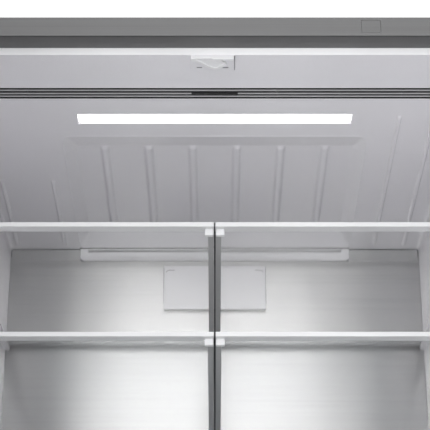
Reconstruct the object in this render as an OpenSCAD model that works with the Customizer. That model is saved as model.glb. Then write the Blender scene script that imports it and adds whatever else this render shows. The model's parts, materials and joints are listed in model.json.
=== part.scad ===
// French door refrigerator with a bottom freezer drawer, doors open at a right angle.
// Origin: middle of the whole outline on the floor. +Z up, -Y towards the user, +X to the user's right.
// Modules place things from the cabinet's front flange plane; at_case() moves them to the origin.

/* [Case] */
// Width of the case
case_w = 908; // [880:1:940]
// Depth of the case behind the front flange
case_d = 734; // [734:1:780]
// Height of the case's top sheet
case_h = 1749; // [1740:1:1780]
// Height of the lower edge of the case
case_z = 36; // [36:1:40]
// Steel sheet thickness
sheet = 0.8; // [0.6:0.1:1.2]

/* [Fresh food compartment] */
// Width of the opening at the front
opening_w = 804; // [780:1:808]
// Width of the back wall
back_w = 776; // [760:1:780]
// Depth from flange to back wall
inner_d = 660; // [650:1:662]
// Slope of the ceiling down to the back, degrees
ceiling_slope = 3.4; // [3:0.01:4]
// Height of the compartment floor
floor_z = 742; // [742:1:746]
// Height of the flange between ceiling and top fascia
flange_h = 12; // [11:1:13]
// Height of the top fascia
fascia_h = 32; // [30:1:34]
// Reach of the top fascia in front of the flange
fascia_reach = 37; // [36:1:38]
// Wall of the thermoformed liners
liner_t = 2.5; // [2:0.1:3]

/* [Freezer] */
// Bottom of the freezer opening
freezer_z0 = 120; // [115:1:125]
// Top of the freezer opening
freezer_z1 = 682; // [680:1:684]
// Opening travel of the freezer drawer
freezer_travel = 400; // [300:1:400]

/* [Doors] */
// Thickness of a door
door_t = 70; // [66:1:72]
// Gap between a closed door and the flange
door_gap = 12; // [11:1:12]
// Hinge axis to the middle of the case
hinge_x = 442; // [441:1:443]
// Hinge axis in front of the flange
hinge_y = 24; // [23:1:25]
// Bottom of the fresh food doors
door_z0 = 714; // [714:1:716]
// Reach of the door bins behind the flange
bin_reach = 72; // [60:1:72]

/* [Shelves] */
// Front edge of the shelves behind the flange
shelf_y = 100; // [98:1:110]
// Depth of each shelf
shelf_d = 552; // [540:1:552]
// Height of the upper pair of shelves, underside of the trim
upper_shelf_z = 1462.2; // [1455:1:1465]
// Height of the lower pair of shelves, underside of the trim
lower_shelf_z = 1284.8; // [1275:1:1290]

/* [Hidden] */
$fn = 48;

case_x = case_w / 2;                       // half width of the case
split = 2;                                 // half the gap between the two doors
reach = hinge_x - split + hinge_y;         // how far an open door stands in front of the flange
front_y = (reach - case_d) / 2;            // flange plane from the origin
ceiling_z = case_h - fascia_h - flange_h;  // front edge of the ceiling
duct_d = 30;                               // space behind the back wall
frame_t = 3;                               // face frame thickness
door_top = ceiling_z + 8.5;
machine_y = 490;                           // front of the machine compartment
machine_z = 330;                           // roof of the machine compartment
run = 0.05;                                // radial running clearance of pins in bores
hinge_pin_r = 5;
bore_depth = 26;

function half_w(y) = opening_w / 2 - (opening_w - back_w) / 2 * y / inner_d;
function ceiling_at(y) = ceiling_z - y * tan(ceiling_slope);

// ---------- placing and shared shapes ----------

// Moves children from the flange plane to the origin
module at_case() translate([0, front_y, 0]) children();

// Box given by its low and high corners
module box(low, high) translate(low) cube(high - low);

// Same thing on both sides of the middle plane
module both_sides() {
    children();
    mirror([1, 0, 0]) children();
}

// Frame that lies on the sloping ceiling: x across, y back along it, z up out of the room
module on_ceiling() translate([0, 0, ceiling_z]) rotate([-ceiling_slope, 0, 0]) children();

// A closed right door's shape, swung open to a right angle; the left door is its mirror
module right_open() at_case() translate([hinge_x, -hinge_y, 0]) rotate([0, 0, 90])
    translate([-hinge_x, hinge_y, 0]) children();
module left_open() mirror([1, 0, 0]) right_open() children();

// Rectangle with round corners, made of exact arcs, centred
module round_rect(w, h, r) {
    square([w - 2 * r, h], center = true);
    square([w, h - 2 * r], center = true);
    for (x = [-1, 1], y = [-1, 1]) translate([x * (w / 2 - r), y * (h / 2 - r)]) circle(r);
}

// Shape drawn in y and z, extruded across x from x0 to x1
module across(x0, x1) translate([x0, 0, 0]) rotate([90, 0, 90]) linear_extrude(x1 - x0) children();

// Shape drawn in x and z, extruded back along y from y0 to y1
module along(y0, y1) translate([0, y1, 0]) rotate([90, 0, 0]) linear_extrude(y1 - y0) children();

// Cylinder along y
module y_rod(x, z, y0, y1, r) translate([x, y0, z]) rotate([-90, 0, 0]) cylinder(r = r, h = y1 - y0);

// Cylinder along x
module x_rod(y, z, x0, x1, r) translate([x0, y, z]) rotate([0, 90, 0]) cylinder(r = r, h = x1 - x0);

// Open-topped tray: low and high corners, wall thickness
module tray(low, high, wall) difference() {
    box(low, high);
    box(low + [wall, wall, wall], [high[0] - wall, high[1] - wall, high[2] + 1]);
}

// Rectangular frame in the x-z plane between y0 and y1: outer corners and rim width
module rim(x0, x1, z0, z1, y0, y1, w) difference() {
    box([x0, y0, z0], [x1, y1, z1]);
    box([x0 + w, y0 - 1, z0 + w], [x1 - w, y1 + 1, z1 - w]);
}

// Axial fan rotor along y: hub, blades and the bore for its shaft
module fan_rotor(r, hub_r, depth, shaft_r, blades) difference() {
    union() {
        y_rod(0, 0, 0, depth, hub_r);
        for (i = [0:blades - 1]) rotate([0, i * 360 / blades, 0]) translate([hub_r - 2, depth / 2, 0])
            rotate([28, 0, 0]) translate([0, -depth * 0.42, -0.8]) cube([r - hub_r + 2, depth * 0.84, 1.6]);
    }
    y_rod(0, 0, -1, depth + 1, shaft_r + run);
}

// ---------- case ----------

module cabinet_shell() color([0.42, 0.42, 0.43]) at_case() difference() {
    union() {
        both_sides() box([case_x - sheet, frame_t, case_z], [case_x, case_d - 4, case_h]);
        box([-case_x, frame_t, case_h - sheet], [case_x, case_d - 4, case_h]);
        box([-case_x, case_d - 4 - sheet, machine_z], [case_x, case_d - 4, case_h]);
        box([-case_x, frame_t, case_z], [case_x, machine_y, case_z + sheet]);
        box([-case_x, machine_y - sheet, case_z], [case_x, machine_y, machine_z]);
        box([-case_x, machine_y - sheet, machine_z], [case_x, case_d - 4, machine_z + sheet]);
    }
    both_sides() translate([400, 60, case_z - 1]) cylinder(r = 6.2, h = 4);
}

module face_frame() color([0.93, 0.93, 0.94]) at_case() difference() {
    box([-case_x, 0, 78], [case_x, frame_t, case_h]);
    box([-opening_w / 2, -1, floor_z], [opening_w / 2, 5, ceiling_z]);
    box([-opening_w / 2, -1, freezer_z0], [opening_w / 2, 5, freezer_z1]);
}

// Tapered room of the fresh food compartment, grown by g on every closed side
module room(g) intersection() {
    across(-case_x, case_x) polygon([[-1, floor_z - g], [-1, ceiling_at(-1) + g],
        [inner_d + duct_d + g, ceiling_at(inner_d + duct_d) + g], [inner_d + duct_d + g, floor_z - g]]);
    linear_extrude(case_h) polygon([[-half_w(-1) - g, -1], [half_w(-1) + g, -1],
        [half_w(inner_d) + g, inner_d + duct_d + g], [-half_w(inner_d) - g, inner_d + duct_d + g]]);
}

// Bevelled pocket in the ceiling, grown by g
panel_x = 255;    // half width of the pocket's mouth
panel_y0 = 246;   // front and back of the mouth
panel_y1 = 654;
panel_h = 12;     // depth of the pocket
bevel_x = 20;
bevel_y0 = 50;
bevel_y1 = 45;
module pocket(g) on_ceiling() intersection() {
    along(0, inner_d + duct_d) polygon([[-panel_x - g, -1], [panel_x + g, -1],
        [panel_x + g - bevel_x, panel_h + g], [-panel_x - g + bevel_x, panel_h + g]]);
    across(-case_x, case_x) polygon([[panel_y0 - g, -1], [panel_y1 + g, -1],
        [panel_y1 + g - bevel_y1, panel_h + g], [panel_y0 - g + bevel_y0, panel_h + g]]);
}

// Ribs that stand down out of the pocket's roof and out of the ceiling beside it
side_ribs = [[-366, 395], [-284, 395], [304, 180], [370, 180]];    // across, and where each starts
module ceiling_ribs() on_ceiling() {
    for (i = [-2.5:1:2.5]) box([i * 75 - 3, panel_y0 + bevel_y0 + 2, panel_h - 5],
        [i * 75 + 3, panel_y1 - bevel_y1 - 16, panel_h + 1]);
    for (rib = side_ribs) box([rib[0] - 2, rib[1], -2.5], [rib[0] + 2, 600, 1]);
}

vent_y0 = 92.6;
vent_y1 = 126.4;
vent_x = 386;
lamp_y0 = 173.6;
lamp_y1 = 202.5;
lamp_x = 223.5;
ledge_x = 377;    // inner side of the shelf ledges
module fridge_liner() color([0.78, 0.78, 0.8]) at_case() {
    difference() {
        intersection() {
            union() {
                room(liner_t);
                pocket(liner_t);
            }
            box([-case_x, frame_t, floor_z - 10], [case_x, case_d, case_h]);
        }
        room(0);
        pocket(0);
        on_ceiling() box([-vent_x - 0.3, vent_y0 - 0.3, -5], [vent_x + 0.3, vent_y1 + 0.3, 6]);
        on_ceiling() box([-lamp_x - 0.3, lamp_y0 - 0.3, -5], [lamp_x + 0.3, lamp_y1 + 0.3, 6]);
    }
    ceiling_ribs();
    // ledges under the outer ends of the shelves
    both_sides() for (z = [upper_shelf_z, lower_shelf_z]) translate([0, 0, z - 6.5]) linear_extrude(6.2)
        polygon([[ledge_x, 150], [half_w(150) + 1, 150], [half_w(640) + 1, 640], [ledge_x, 640]]);
}

// Freezer room with the step over the machine compartment, grown by g
freezer_x = 395;
freezer_d = 650;
step_y = 460;
step_z = 360;
module freezer_room(g) across(-freezer_x - g, freezer_x + g) polygon([[-1, freezer_z0 + 4 - g],
    [-1, freezer_z1 - 4 + g], [freezer_d + g, freezer_z1 - 4 + g], [freezer_d + g, step_z - g],
    [step_y + g, step_z - g], [step_y + g, freezer_z0 + 4 - g]]);

module freezer_liner() color([0.86, 0.86, 0.87]) at_case() difference() {
    freezer_room(liner_t);
    freezer_room(0);
    box([-case_x, -5, case_z], [case_x, frame_t, case_h]);
}

module insulation_foam() color([0.9, 0.85, 0.6]) at_case() difference() {
    box([-case_x + 2, frame_t + 0.5, case_z + 2], [case_x - 2, case_d - 6, case_h - 2]);
    room(liner_t);
    freezer_room(liner_t);
    on_ceiling() box([-vent_x - 14, 50, -5], [vent_x + 14, inner_d + 6, 22]);
    box([-case_x, machine_y - 2, case_z - 1], [case_x, case_d, machine_z + 2]);
    both_sides() box([400 - 12, 48, case_z], [400 + 12, 72, 70]);
}

module back_cover() color([0.3, 0.3, 0.31]) at_case() difference() {
    box([-case_x + 6, case_d - 4, 62], [case_x - 6, case_d, machine_z + 20]);
    for (row = [0:5], col = [-7:7]) box([col * 50 - 17, case_d - 5, 110 + row * 32],
        [col * 50 + 17, case_d + 1, 118 + row * 32]);
}

roller_r = 22;
roller_y = 690;
fan_x = -20;      // condenser fan, middle of its hub
fan_y = 610;
fan_z = 150;
module base_pan() color([0.5, 0.5, 0.52]) at_case() {
    box([-case_x + 2, machine_y + 0.5, 48], [case_x - 2, case_d - 5, 50]);
    both_sides() {
        for (x = [382, 415]) box([x, roller_y - 12, 12], [x + 3, roller_y + 12, 48.5]);
        x_rod(roller_y, roller_r, 381, 419, 4);
    }
    // post and shaft of the condenser fan
    box([fan_x - 46, fan_y - 14, 49], [fan_x - 40, fan_y + 14, fan_z + 20]);
    x_rod(fan_y, fan_z, fan_x - 41, fan_x - 14, 16);
    x_rod(fan_y, fan_z, fan_x - 15, fan_x + 14, 3);
}

module toe_grille() color([0.35, 0.35, 0.36]) at_case() difference() {
    box([-case_x + 4, -2, 20], [case_x - 4, 2, 77]);
    for (row = [0:2], col = [-6:6]) box([col * 64 - 26, -3, 32 + row * 14], [col * 64 + 26, 3, 37 + row * 14]);
}

module levelling_feet() color([0.25, 0.25, 0.26]) at_case() both_sides() translate([400, 60, 0]) {
    cylinder(r = 21, h = 6);
    translate([0, 0, 6]) cylinder(r = 13, h = 8, $fn = 6);
    translate([0, 0, 13]) cylinder(r = 6, h = 50);
}

module rear_rollers() color([0.2, 0.2, 0.2]) at_case() both_sides() difference() {
    x_rod(roller_y, roller_r, 390, 410, roller_r);
    x_rod(roller_y, roller_r, 389, 411, 4 + run);
    for (x = [389, 407]) difference() {
        x_rod(roller_y, roller_r, x, x + 4, 17);
        x_rod(roller_y, roller_r, x - 1, x + 5, 8);
    }
}

// ---------- top front ----------

hatch_x = 237;
hatch_z = ceiling_z + 28;
module top_fascia() color([0.5, 0.5, 0.51]) at_case() difference() {
    box([-case_x, -fascia_reach, ceiling_z + flange_h], [case_x, 0, case_h]);
    box([-case_x + 3, -fascia_reach + 3, ceiling_z + flange_h + 2.5], [case_x - 3, 1, case_h - 2.5]);
    both_sides() translate([hinge_x, -hinge_y, ceiling_z]) cylinder(r = 8, h = 80);
    translate([hatch_x, 0, hatch_z]) along(-fascia_reach - 1, -fascia_reach + 5) round_rect(29.4, 22.4, 2);
}

module fascia_hatch() color([0.5, 0.5, 0.51]) at_case() translate([hatch_x, 0, hatch_z]) {
    along(-fascia_reach, -fascia_reach + 2) round_rect(28.8, 21.8, 1.8);
    both_sides() box([9, -fascia_reach + 1.5, -5], [11, -fascia_reach + 12, 5]);
}

// Outline of a bar of width w that follows a list of points
function shift(points, d) = [for (i = [0:len(points) - 1])
    let (v = points[min(i + 1, len(points) - 1)] - points[max(i - 1, 0)]) points[i] + [-v[1], v[0]] * d / norm(v)];
function bar(points, w) = let (far = shift(points, -w / 2))
    concat(shift(points, w / 2), [for (i = [len(points) - 1:-1:0]) far[i]]);

// Catch on the ceiling that turns the mullion flap: pad, stop block, wedge and curved guide wall
guide_h = 7;
guide_wall = [[-34.6, 4.9], [-29, 7.1], [-23.9, 10.2], [-19, 14.8], [-14.7, 19.3], [-10.5, 23.3], [-6.2, 26.1],
    [-2.5, 27.9], [1.2, 28.3], [5.2, 26.9], [9.2, 23.7], [13.5, 20.1], [18, 16.5]];
module mullion_guide() color([0.95, 0.95, 0.95]) at_case() on_ceiling() {
    difference() {
        box([-37.5, 0.6, -1.5], [30, 42, 0]);
        box([-28, 31.5, -3], [-19, 35, 1]);
        box([12, 31.5, -3], [21.5, 35, 1]);
    }
    translate([0, 0, -guide_h]) linear_extrude(guide_h - 1) {
        polygon(bar(guide_wall, 5.4));
        polygon([[-36.5, 0.9], [-27, 0.9], [-29, 6], [-34, 5], [-36.5, 5.4]]);
        polygon([[-4, 2], [-2.6, 0.9], [29, 0.9], [29, 5], [28, 6], [-2.6, 6], [-4, 4.8]]);
    }
    // scoop that the pin runs in
    translate([0, 0, -6]) linear_extrude(5) polygon([[-27.5, 1.6], [-3.6, 1.6], [-3.4, 5], [3, 5.6], [9, 5.6],
        [14.5, 12], [16.6, 15.6], [9.2, 21.6], [4.6, 24.2], [-2, 25.2], [-10, 21.2], [-20, 11.4], [-28.6, 5.6]]);
}

vent_slats = [102.7, 111.9, 120.2];
module vent_grille() color([0.3, 0.3, 0.31]) at_case() on_ceiling() {
    difference() {
        box([-vent_x, vent_y0, 0], [vent_x, vent_y1, 16]);
        box([-vent_x + 2, vent_y0 + 2, -1], [vent_x - 2, vent_y1 - 2, 14]);
    }
    for (y = vent_slats) box([-vent_x + 1, y - 1.9, 0.4], [vent_x - 1, y + 1.9, 6]);
    for (x = [-300:100:300]) box([x - 1, vent_y0 + 1, 5], [x + 1, vent_y1 - 1, 15]);
    box([-37, vent_slats[1] - 3.9, -0.6], [37, vent_slats[1] + 3.9, 4]);
}

module light_lens() color([1, 1, 1]) at_case() on_ceiling() translate([0, (lamp_y0 + lamp_y1) / 2, -0.8])
    difference() {
        linear_extrude(8) round_rect(2 * lamp_x, lamp_y1 - lamp_y0, 7);
        translate([0, 0, 2]) linear_extrude(8) round_rect(2 * lamp_x - 5, lamp_y1 - lamp_y0 - 5, 5);
    }

module light_board() color([0.9, 0.9, 0.85]) at_case() on_ceiling() translate([0, (lamp_y0 + lamp_y1) / 2, 0]) {
    box([-lamp_x + 4, -9, 8.5], [lamp_x - 4, 9, 10]);
    for (i = [-7:7]) translate([i * 29, 0, 7.3]) linear_extrude(1.3) square([5, 5], center = true);
}

// ---------- back wall ----------

filter_w = 191;
filter_h = 86.2;
filter_z = ceiling_z - 122.3;    // middle of the filter cover
filter_hinge = [inner_d - 6, filter_z - filter_h / 2 + 7];
outlet_x = 255;                  // half width of the air outlet
outlet_z = ceiling_z - 64.5;     // its lower edge
module rear_panel() color([0.75, 0.75, 0.76]) at_case() difference() {
    box([-back_w / 2 + 0.5, inner_d, floor_z + 0.5], [back_w / 2 - 0.5, inner_d + 1.2, ceiling_at(inner_d) - 1]);
    box([-88, inner_d - 1, filter_z - 40], [88, inner_d + 3, filter_z + 38]);
    box([-outlet_x - 0.5, inner_d - 1, outlet_z - 0.5], [outlet_x + 0.5, inner_d + 3, case_h]);
    for (x = [-70, 70]) box([x - 1.5, inner_d - 1, 800], [x + 1.5, inner_d + 3, 860]);
}

duct_fan_z = 960;
module air_duct() color([0.88, 0.88, 0.89]) at_case() {
    difference() {
        union() {
            box([-62, inner_d + 1.5, 760], [62, inner_d + duct_d - 0.5, filter_z - 40]);
            box([-outlet_x + 30, inner_d + 1.5, filter_z + 40], [outlet_x - 30, inner_d + duct_d - 0.5, outlet_z + 4]);
            box([-120, inner_d + 1.5, filter_z - 42], [-100, inner_d + duct_d - 0.5, filter_z + 42]);
            box([100, inner_d + 1.5, filter_z - 42], [120, inner_d + duct_d - 0.5, filter_z + 42]);
            box([-120, inner_d + 1.5, filter_z - 60], [120, inner_d + duct_d - 0.5, filter_z - 40]);
        }
        box([-59, inner_d, 763], [59, inner_d + duct_d - 3, filter_z - 43]);
    }
    // outlet face under the ceiling
    difference() {
        union() {
            translate([0, 0, outlet_z + 14]) along(inner_d - 3, inner_d + 20) round_rect(2 * outlet_x, 28, 8);
        }
        on_ceiling() box([-outlet_x - 1, inner_d - 20, -0.6], [outlet_x + 1, inner_d + 60, 60]);
        box([-outlet_x + 14, inner_d - 4, outlet_z + 17], [outlet_x - 14, inner_d + 17, outlet_z + 22]);
    }
    // shaft of the duct fan
    y_rod(0, duct_fan_z, inner_d + 18, inner_d + duct_d - 2, 14);
    y_rod(0, duct_fan_z, inner_d + 3, inner_d + 19, 2.5);
    // ears of the filter cover's pins
    both_sides() difference() {
        union() {
            x_rod(filter_hinge[0], filter_hinge[1], 82, 86, 4);
            box([82, filter_hinge[0], filter_hinge[1] - 1], [86, inner_d + 3, filter_hinge[1] + 3]);
            box([82, inner_d + 1.5, filter_hinge[1] - 1], [104, inner_d + 5, filter_hinge[1] + 3]);
        }
        x_rod(filter_hinge[0], filter_hinge[1], 80, 88, 2 + run);
    }
}

module duct_fan() color([0.25, 0.25, 0.27]) at_case() translate([0, inner_d + 4, duct_fan_z])
    fan_rotor(46, 13, 12, 2.5, 7);

module filter_cover() color([0.85, 0.85, 0.86]) at_case() {
    difference() {
        box([-filter_w / 2, inner_d - 12, filter_z - filter_h / 2], [filter_w / 2, inner_d - 4, filter_z + filter_h / 2]);
        box([-filter_w / 2 + 2, inner_d - 10, filter_z - filter_h / 2 + 2],
            [filter_w / 2 - 2, inner_d - 3, filter_z + filter_h / 2 - 2]);
    }
    both_sides() x_rod(filter_hinge[0], filter_hinge[1], 80, filter_w / 2 - 1, 2);
}

module filter_cartridge() color([0.2, 0.25, 0.3]) at_case() {
    difference() {
        box([-78, inner_d + 2, filter_z - 30], [78, inner_d + 22, filter_z + 32]);
        for (i = [-6:6]) box([i * 11 - 3.5, inner_d + 1, filter_z - 22], [i * 11 + 3.5, inner_d + 10, filter_z + 24]);
    }
}

// ---------- shelves ----------

shelf_x = 384;       // outer side of a shelf
shelf_gap = 1.4;     // half the gap between left and right shelves
trim_h = 7.4;
glass_t = 4;
arm_y1 = shelf_y + shelf_d;
module shelf_tracks() color([0.7, 0.7, 0.71]) at_case() {
    difference() {
        box([-9.5, inner_d - 8, 1110], [9.5, inner_d, upper_shelf_z + 14]);
        for (i = [0:23], x = [-5, 5]) box([x - 1.6, inner_d - 9, 1120 + i * 15], [x + 1.6, inner_d - 2, 1129 + i * 15]);
    }
}

// One cantilever arm under a shelf, its inner face at x
module shelf_arm(x, z) across(x, x + 8.4) polygon([[shelf_y + 12, z - 0.5], [arm_y1, z - 0.5], [arm_y1, z - 46],
    [arm_y1 - 16, z - 46], [arm_y1 - 60, z - 26], [shelf_y + 60, z - 13], [shelf_y + 12, z - 9]]);

module shelf_arms() color([0.6, 0.6, 0.62]) at_case() both_sides() for (z = [upper_shelf_z, lower_shelf_z])
    shelf_arm(shelf_gap + 0.3, z);

module right_glass(z) at_case()
    box([shelf_gap + 2, shelf_y + 12, z + trim_h - glass_t], [shelf_x - 2, shelf_y + shelf_d - 8, z + trim_h]);

module right_trim(z) at_case() {
    difference() {
        union() {
            box([shelf_gap, shelf_y, z], [shelf_x, shelf_y + 20, z + trim_h]);
            box([shelf_gap, shelf_y + shelf_d - 20, z], [shelf_x, shelf_y + shelf_d - 6, z + trim_h + 8]);
            box([shelf_x - 4, shelf_y + 19, z], [shelf_x, shelf_y + shelf_d - 19, z + trim_h]);
        }
        box([shelf_gap + 1.9, shelf_y + 11.9, z + trim_h - glass_t - 0.1],
            [shelf_x - 1.9, shelf_y + shelf_d - 7.9, z + trim_h + 9]);
    }
    // cap over the end of the arm
    difference() {
        box([shelf_gap + 0.2, shelf_y + 9, z - 10.5], [shelf_gap + 13.8, shelf_y + 17, z + 0.5]);
        box([shelf_gap + 0.25, shelf_y + 11.9, z - 9.4], [shelf_gap + 10.8, shelf_y + 36, z - 0.4]);
    }
}

module upper_right_glass() color([0.75, 0.85, 0.85, 0.35]) right_glass(upper_shelf_z);
module upper_left_glass() color([0.75, 0.85, 0.85, 0.35]) mirror([1, 0, 0]) right_glass(upper_shelf_z);
module lower_right_glass() color([0.75, 0.85, 0.85, 0.35]) right_glass(lower_shelf_z);
module lower_left_glass() color([0.75, 0.85, 0.85, 0.35]) mirror([1, 0, 0]) right_glass(lower_shelf_z);
module upper_right_trim() color([0.95, 0.95, 0.95]) right_trim(upper_shelf_z);
module upper_left_trim() color([0.95, 0.95, 0.95]) mirror([1, 0, 0]) right_trim(upper_shelf_z);
module lower_right_trim() color([0.95, 0.95, 0.95]) right_trim(lower_shelf_z);
module lower_left_trim() color([0.95, 0.95, 0.95]) mirror([1, 0, 0]) right_trim(lower_shelf_z);

// ---------- drawers in the fresh food compartment ----------

drawer_x = 338;      // outer side of the drawers, clear of the open doors' bins
drawer_y = 112;
drawer_d = 490;
crisper_z0 = 902;
crisper_z1 = 1072;
cover_z = 1078;      // underside of the crisper cover
module crisper_frame() color([0.93, 0.93, 0.94]) at_case() {
    difference() {
        box([-shelf_x, shelf_y, cover_z], [shelf_x, shelf_y + shelf_d, cover_z + 12]);
        box([-shelf_x + 14, shelf_y + 16, cover_z - 1], [shelf_x - 14, shelf_y + shelf_d - 14, cover_z + 13]);
        box([-shelf_x + 8, shelf_y + 10, cover_z + 7.9], [shelf_x - 8, shelf_y + shelf_d - 8, cover_z + 13]);
        box([-30, shelf_y - 1, cover_z + 3.5], [30, shelf_y + 4, cover_z + 8.5]);
    }
    box([-3.5, shelf_y + 10, 893], [3.5, shelf_y + shelf_d - 1, cover_z + 7.8]);
    box([-shelf_x + 2, shelf_y + 10, 887], [shelf_x - 2, shelf_y + shelf_d - 1, 894]);
    both_sides() {
        box([drawer_x + 4, shelf_y + 10, floor_z], [drawer_x + 8, shelf_y + shelf_d - 1, cover_z + 1]);
        box([drawer_x + 7, shelf_y + 10, floor_z], [shelf_x - 2, shelf_y + 13, cover_z + 1]);
    }
}

module crisper_glass() color([0.75, 0.85, 0.85, 0.35]) at_case()
    box([-shelf_x + 8.2, shelf_y + 10.2, cover_z + 8], [shelf_x - 8.2, shelf_y + shelf_d - 8.2, cover_z + 12]);

// Drawer with a thicker front and a finger grip along the front's lower edge
module drawer(x0, x1, z0, z1) difference() {
    union() {
        tray([x0 + 2, drawer_y + 4, z0], [x1 - 2, drawer_y + drawer_d, z1 - 12], 2.5);
        difference() {
            box([x0, drawer_y, z0 - 4], [x1, drawer_y + 22, z1]);
            box([x0 + 3, drawer_y + 3, z0 - 1], [x1 - 3, drawer_y + 19.5, z1 + 1]);
            box([x0 + 4.6, drawer_y + 19, z0 + 2.5], [x1 - 4.6, drawer_y + 25, z1 + 1]);
        }
    }
    box([(x0 + x1) / 2 - 60, drawer_y - 1, z1 - 30], [(x0 + x1) / 2 + 60, drawer_y + 4, z1 - 8]);
}

module crisper_right() color([0.85, 0.9, 0.92, 0.5]) at_case() drawer(5, drawer_x, crisper_z0, crisper_z1);
module crisper_left() color([0.85, 0.9, 0.92, 0.5]) at_case() drawer(-drawer_x, -5, crisper_z0, crisper_z1);
module pantry_drawer() color([0.85, 0.9, 0.92, 0.5]) at_case() drawer(-drawer_x, drawer_x, floor_z + 10, 882);

module humidity_slider() color([0.55, 0.6, 0.62]) at_case() {
    box([-28, shelf_y + 0.4, cover_z + 4], [-12, shelf_y + 3.6, cover_z + 8]);
    box([-24, shelf_y - 1, cover_z + 4.5], [-16, shelf_y + 1, cover_z + 7.5]);
    translate([-20, 0, cover_z + 6]) along(shelf_y - 5, shelf_y - 0.3) round_rect(12, 9, 2);
}

// ---------- fresh food doors, drawn closed ----------

door_y0 = -door_gap - door_t;     // outer face
door_y1 = -door_gap;              // inner face
dike_x0 = 48;
dike_x1 = 378;
dike_z0 = 764;
dike_z1 = ceiling_z - 28;
dike_w = 8;
bin_zs = [800, 1090, 1380];
bin_h = 118;

module door_skin() difference() {
    union() {
        difference() {
            linear_extrude(door_top - door_z0) polygon([[split, door_y1 - 4], [split, door_y0 + 6], [split + 6, door_y0],
                [case_x - 6, door_y0], [case_x, door_y0 + 6], [case_x, door_y1 - 4]]);
            translate([0, 0, sheet]) linear_extrude(door_top - door_z0 - 2 * sheet) polygon([
                [split + sheet, door_y1], [split + sheet, door_y0 + 6.6], [split + 6.6, door_y0 + sheet],
                [case_x - 6.6, door_y0 + sheet], [case_x - sheet, door_y0 + 6.6], [case_x - sheet, door_y1]]);
        }
        for (z = [0, door_top - door_z0 - 34]) translate([hinge_x, -hinge_y, z]) intersection() {
            cylinder(r = 11, h = 34);
            box([-20, -20, 0], [case_x - hinge_x, 20, 34]);
        }
    }
    for (z = [-1, door_top - door_z0 - bore_depth]) translate([hinge_x, -hinge_y, z])
        cylinder(r = hinge_pin_r + run, h = bore_depth + 1);
}
module door_skin_closed() translate([0, 0, door_z0]) door_skin();

module door_liner_closed() difference() {
    union() {
        box([split + sheet + 0.3, door_y1 - 3.9, door_z0 + sheet + 0.3],
            [case_x - sheet - 0.3, door_y1 - 0.1, door_top - sheet - 0.3]);
        rim(dike_x0, dike_x1, dike_z0, dike_z1, door_y1 - 1, 24, dike_w);
        // ledges that carry the bins
        for (z = bin_zs, x = [dike_x0 + dike_w - 1, dike_x1 - dike_w - 15])
            box([x, door_y1 - 1, z - 8], [x + 16, 22, z - 0.3]);
    }
    for (z = [door_z0 - 1, door_top - 36]) translate([hinge_x, -hinge_y, z]) cylinder(r = 12, h = 37);
}

module door_gasket_closed() rim(split + 4, hinge_x - 2, door_z0 + 2, door_top - 1, door_y1, -0.3, 16);

module door_handle_closed() {
    translate([42, door_y0 - 47, 800]) cylinder(r = 12, h = 760);
    for (z = [850, 1510]) y_rod(42, z, door_y0 - 47, door_y0, 9);
}

// Bin hung between the dike's side walls; its front lip reaches bin_reach behind the flange
module door_bins_closed() for (z = bin_zs)
    tray([dike_x0 + dike_w + 2, door_y1 + 2, z], [dike_x1 - dike_w - 2, bin_reach, z + bin_h], 3);

module right_door_skin() color([0.7, 0.7, 0.71]) right_open() door_skin_closed();
module right_door_liner() color([0.93, 0.93, 0.94]) right_open() door_liner_closed();
module right_door_gasket() color([0.6, 0.6, 0.61]) right_open() door_gasket_closed();
module right_door_handle() color([0.72, 0.72, 0.73]) right_open() door_handle_closed();
module right_door_bins() color([0.85, 0.9, 0.92, 0.5]) right_open() door_bins_closed();
module left_door_skin() color([0.7, 0.7, 0.71]) left_open() door_skin_closed();
module left_door_liner() color([0.93, 0.93, 0.94]) left_open() difference() {
    union() {
        door_liner_closed();
        // lugs that carry the mullion flap's pins
        for (z = flap_lugs) box([flap_x - 4.5, door_y1 - 1, z], [flap_x + 4.5, flap_y + 4.5, z + 12]);
    }
    for (z = flap_lugs) translate([flap_x, flap_y, z - 1]) cylinder(r = 2.5 + run, h = 14);
}
module left_door_gasket() color([0.6, 0.6, 0.61]) left_open() door_gasket_closed();
module left_door_handle() color([0.72, 0.72, 0.73]) left_open() door_handle_closed();
module left_door_bins() color([0.85, 0.9, 0.92, 0.5]) left_open() door_bins_closed();

// Flap on the left door that closes the gap between the doors; drawn in the left door's mirrored
// frame, folded back along the door's dike
flap_x = 30;
flap_y = 6;
flap_z0 = 752;
flap_z1 = ceiling_z - 20;
flap_lugs = [800, 1200, 1600];
module mullion_flap() color([0.9, 0.9, 0.91]) left_open() translate([flap_x, flap_y, 0]) rotate([0, 0, -90]) {
    difference() {
        translate([0, 0, flap_z0]) linear_extrude(flap_z1 - flap_z0) translate([-28, 3.5]) round_rect(68, 18, 4);
        for (z = flap_lugs) translate([-7, -6, z - 1.5]) cube([14, 20, 15]);
    }
    for (z = flap_lugs) translate([0, 0, z - 2]) cylinder(r = 2.5, h = 16);
    // guide pin
    translate([-24, 4, flap_z1 - 1]) cylinder(r = 4, h = 12.5);
}

// ---------- hinges ----------

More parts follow.
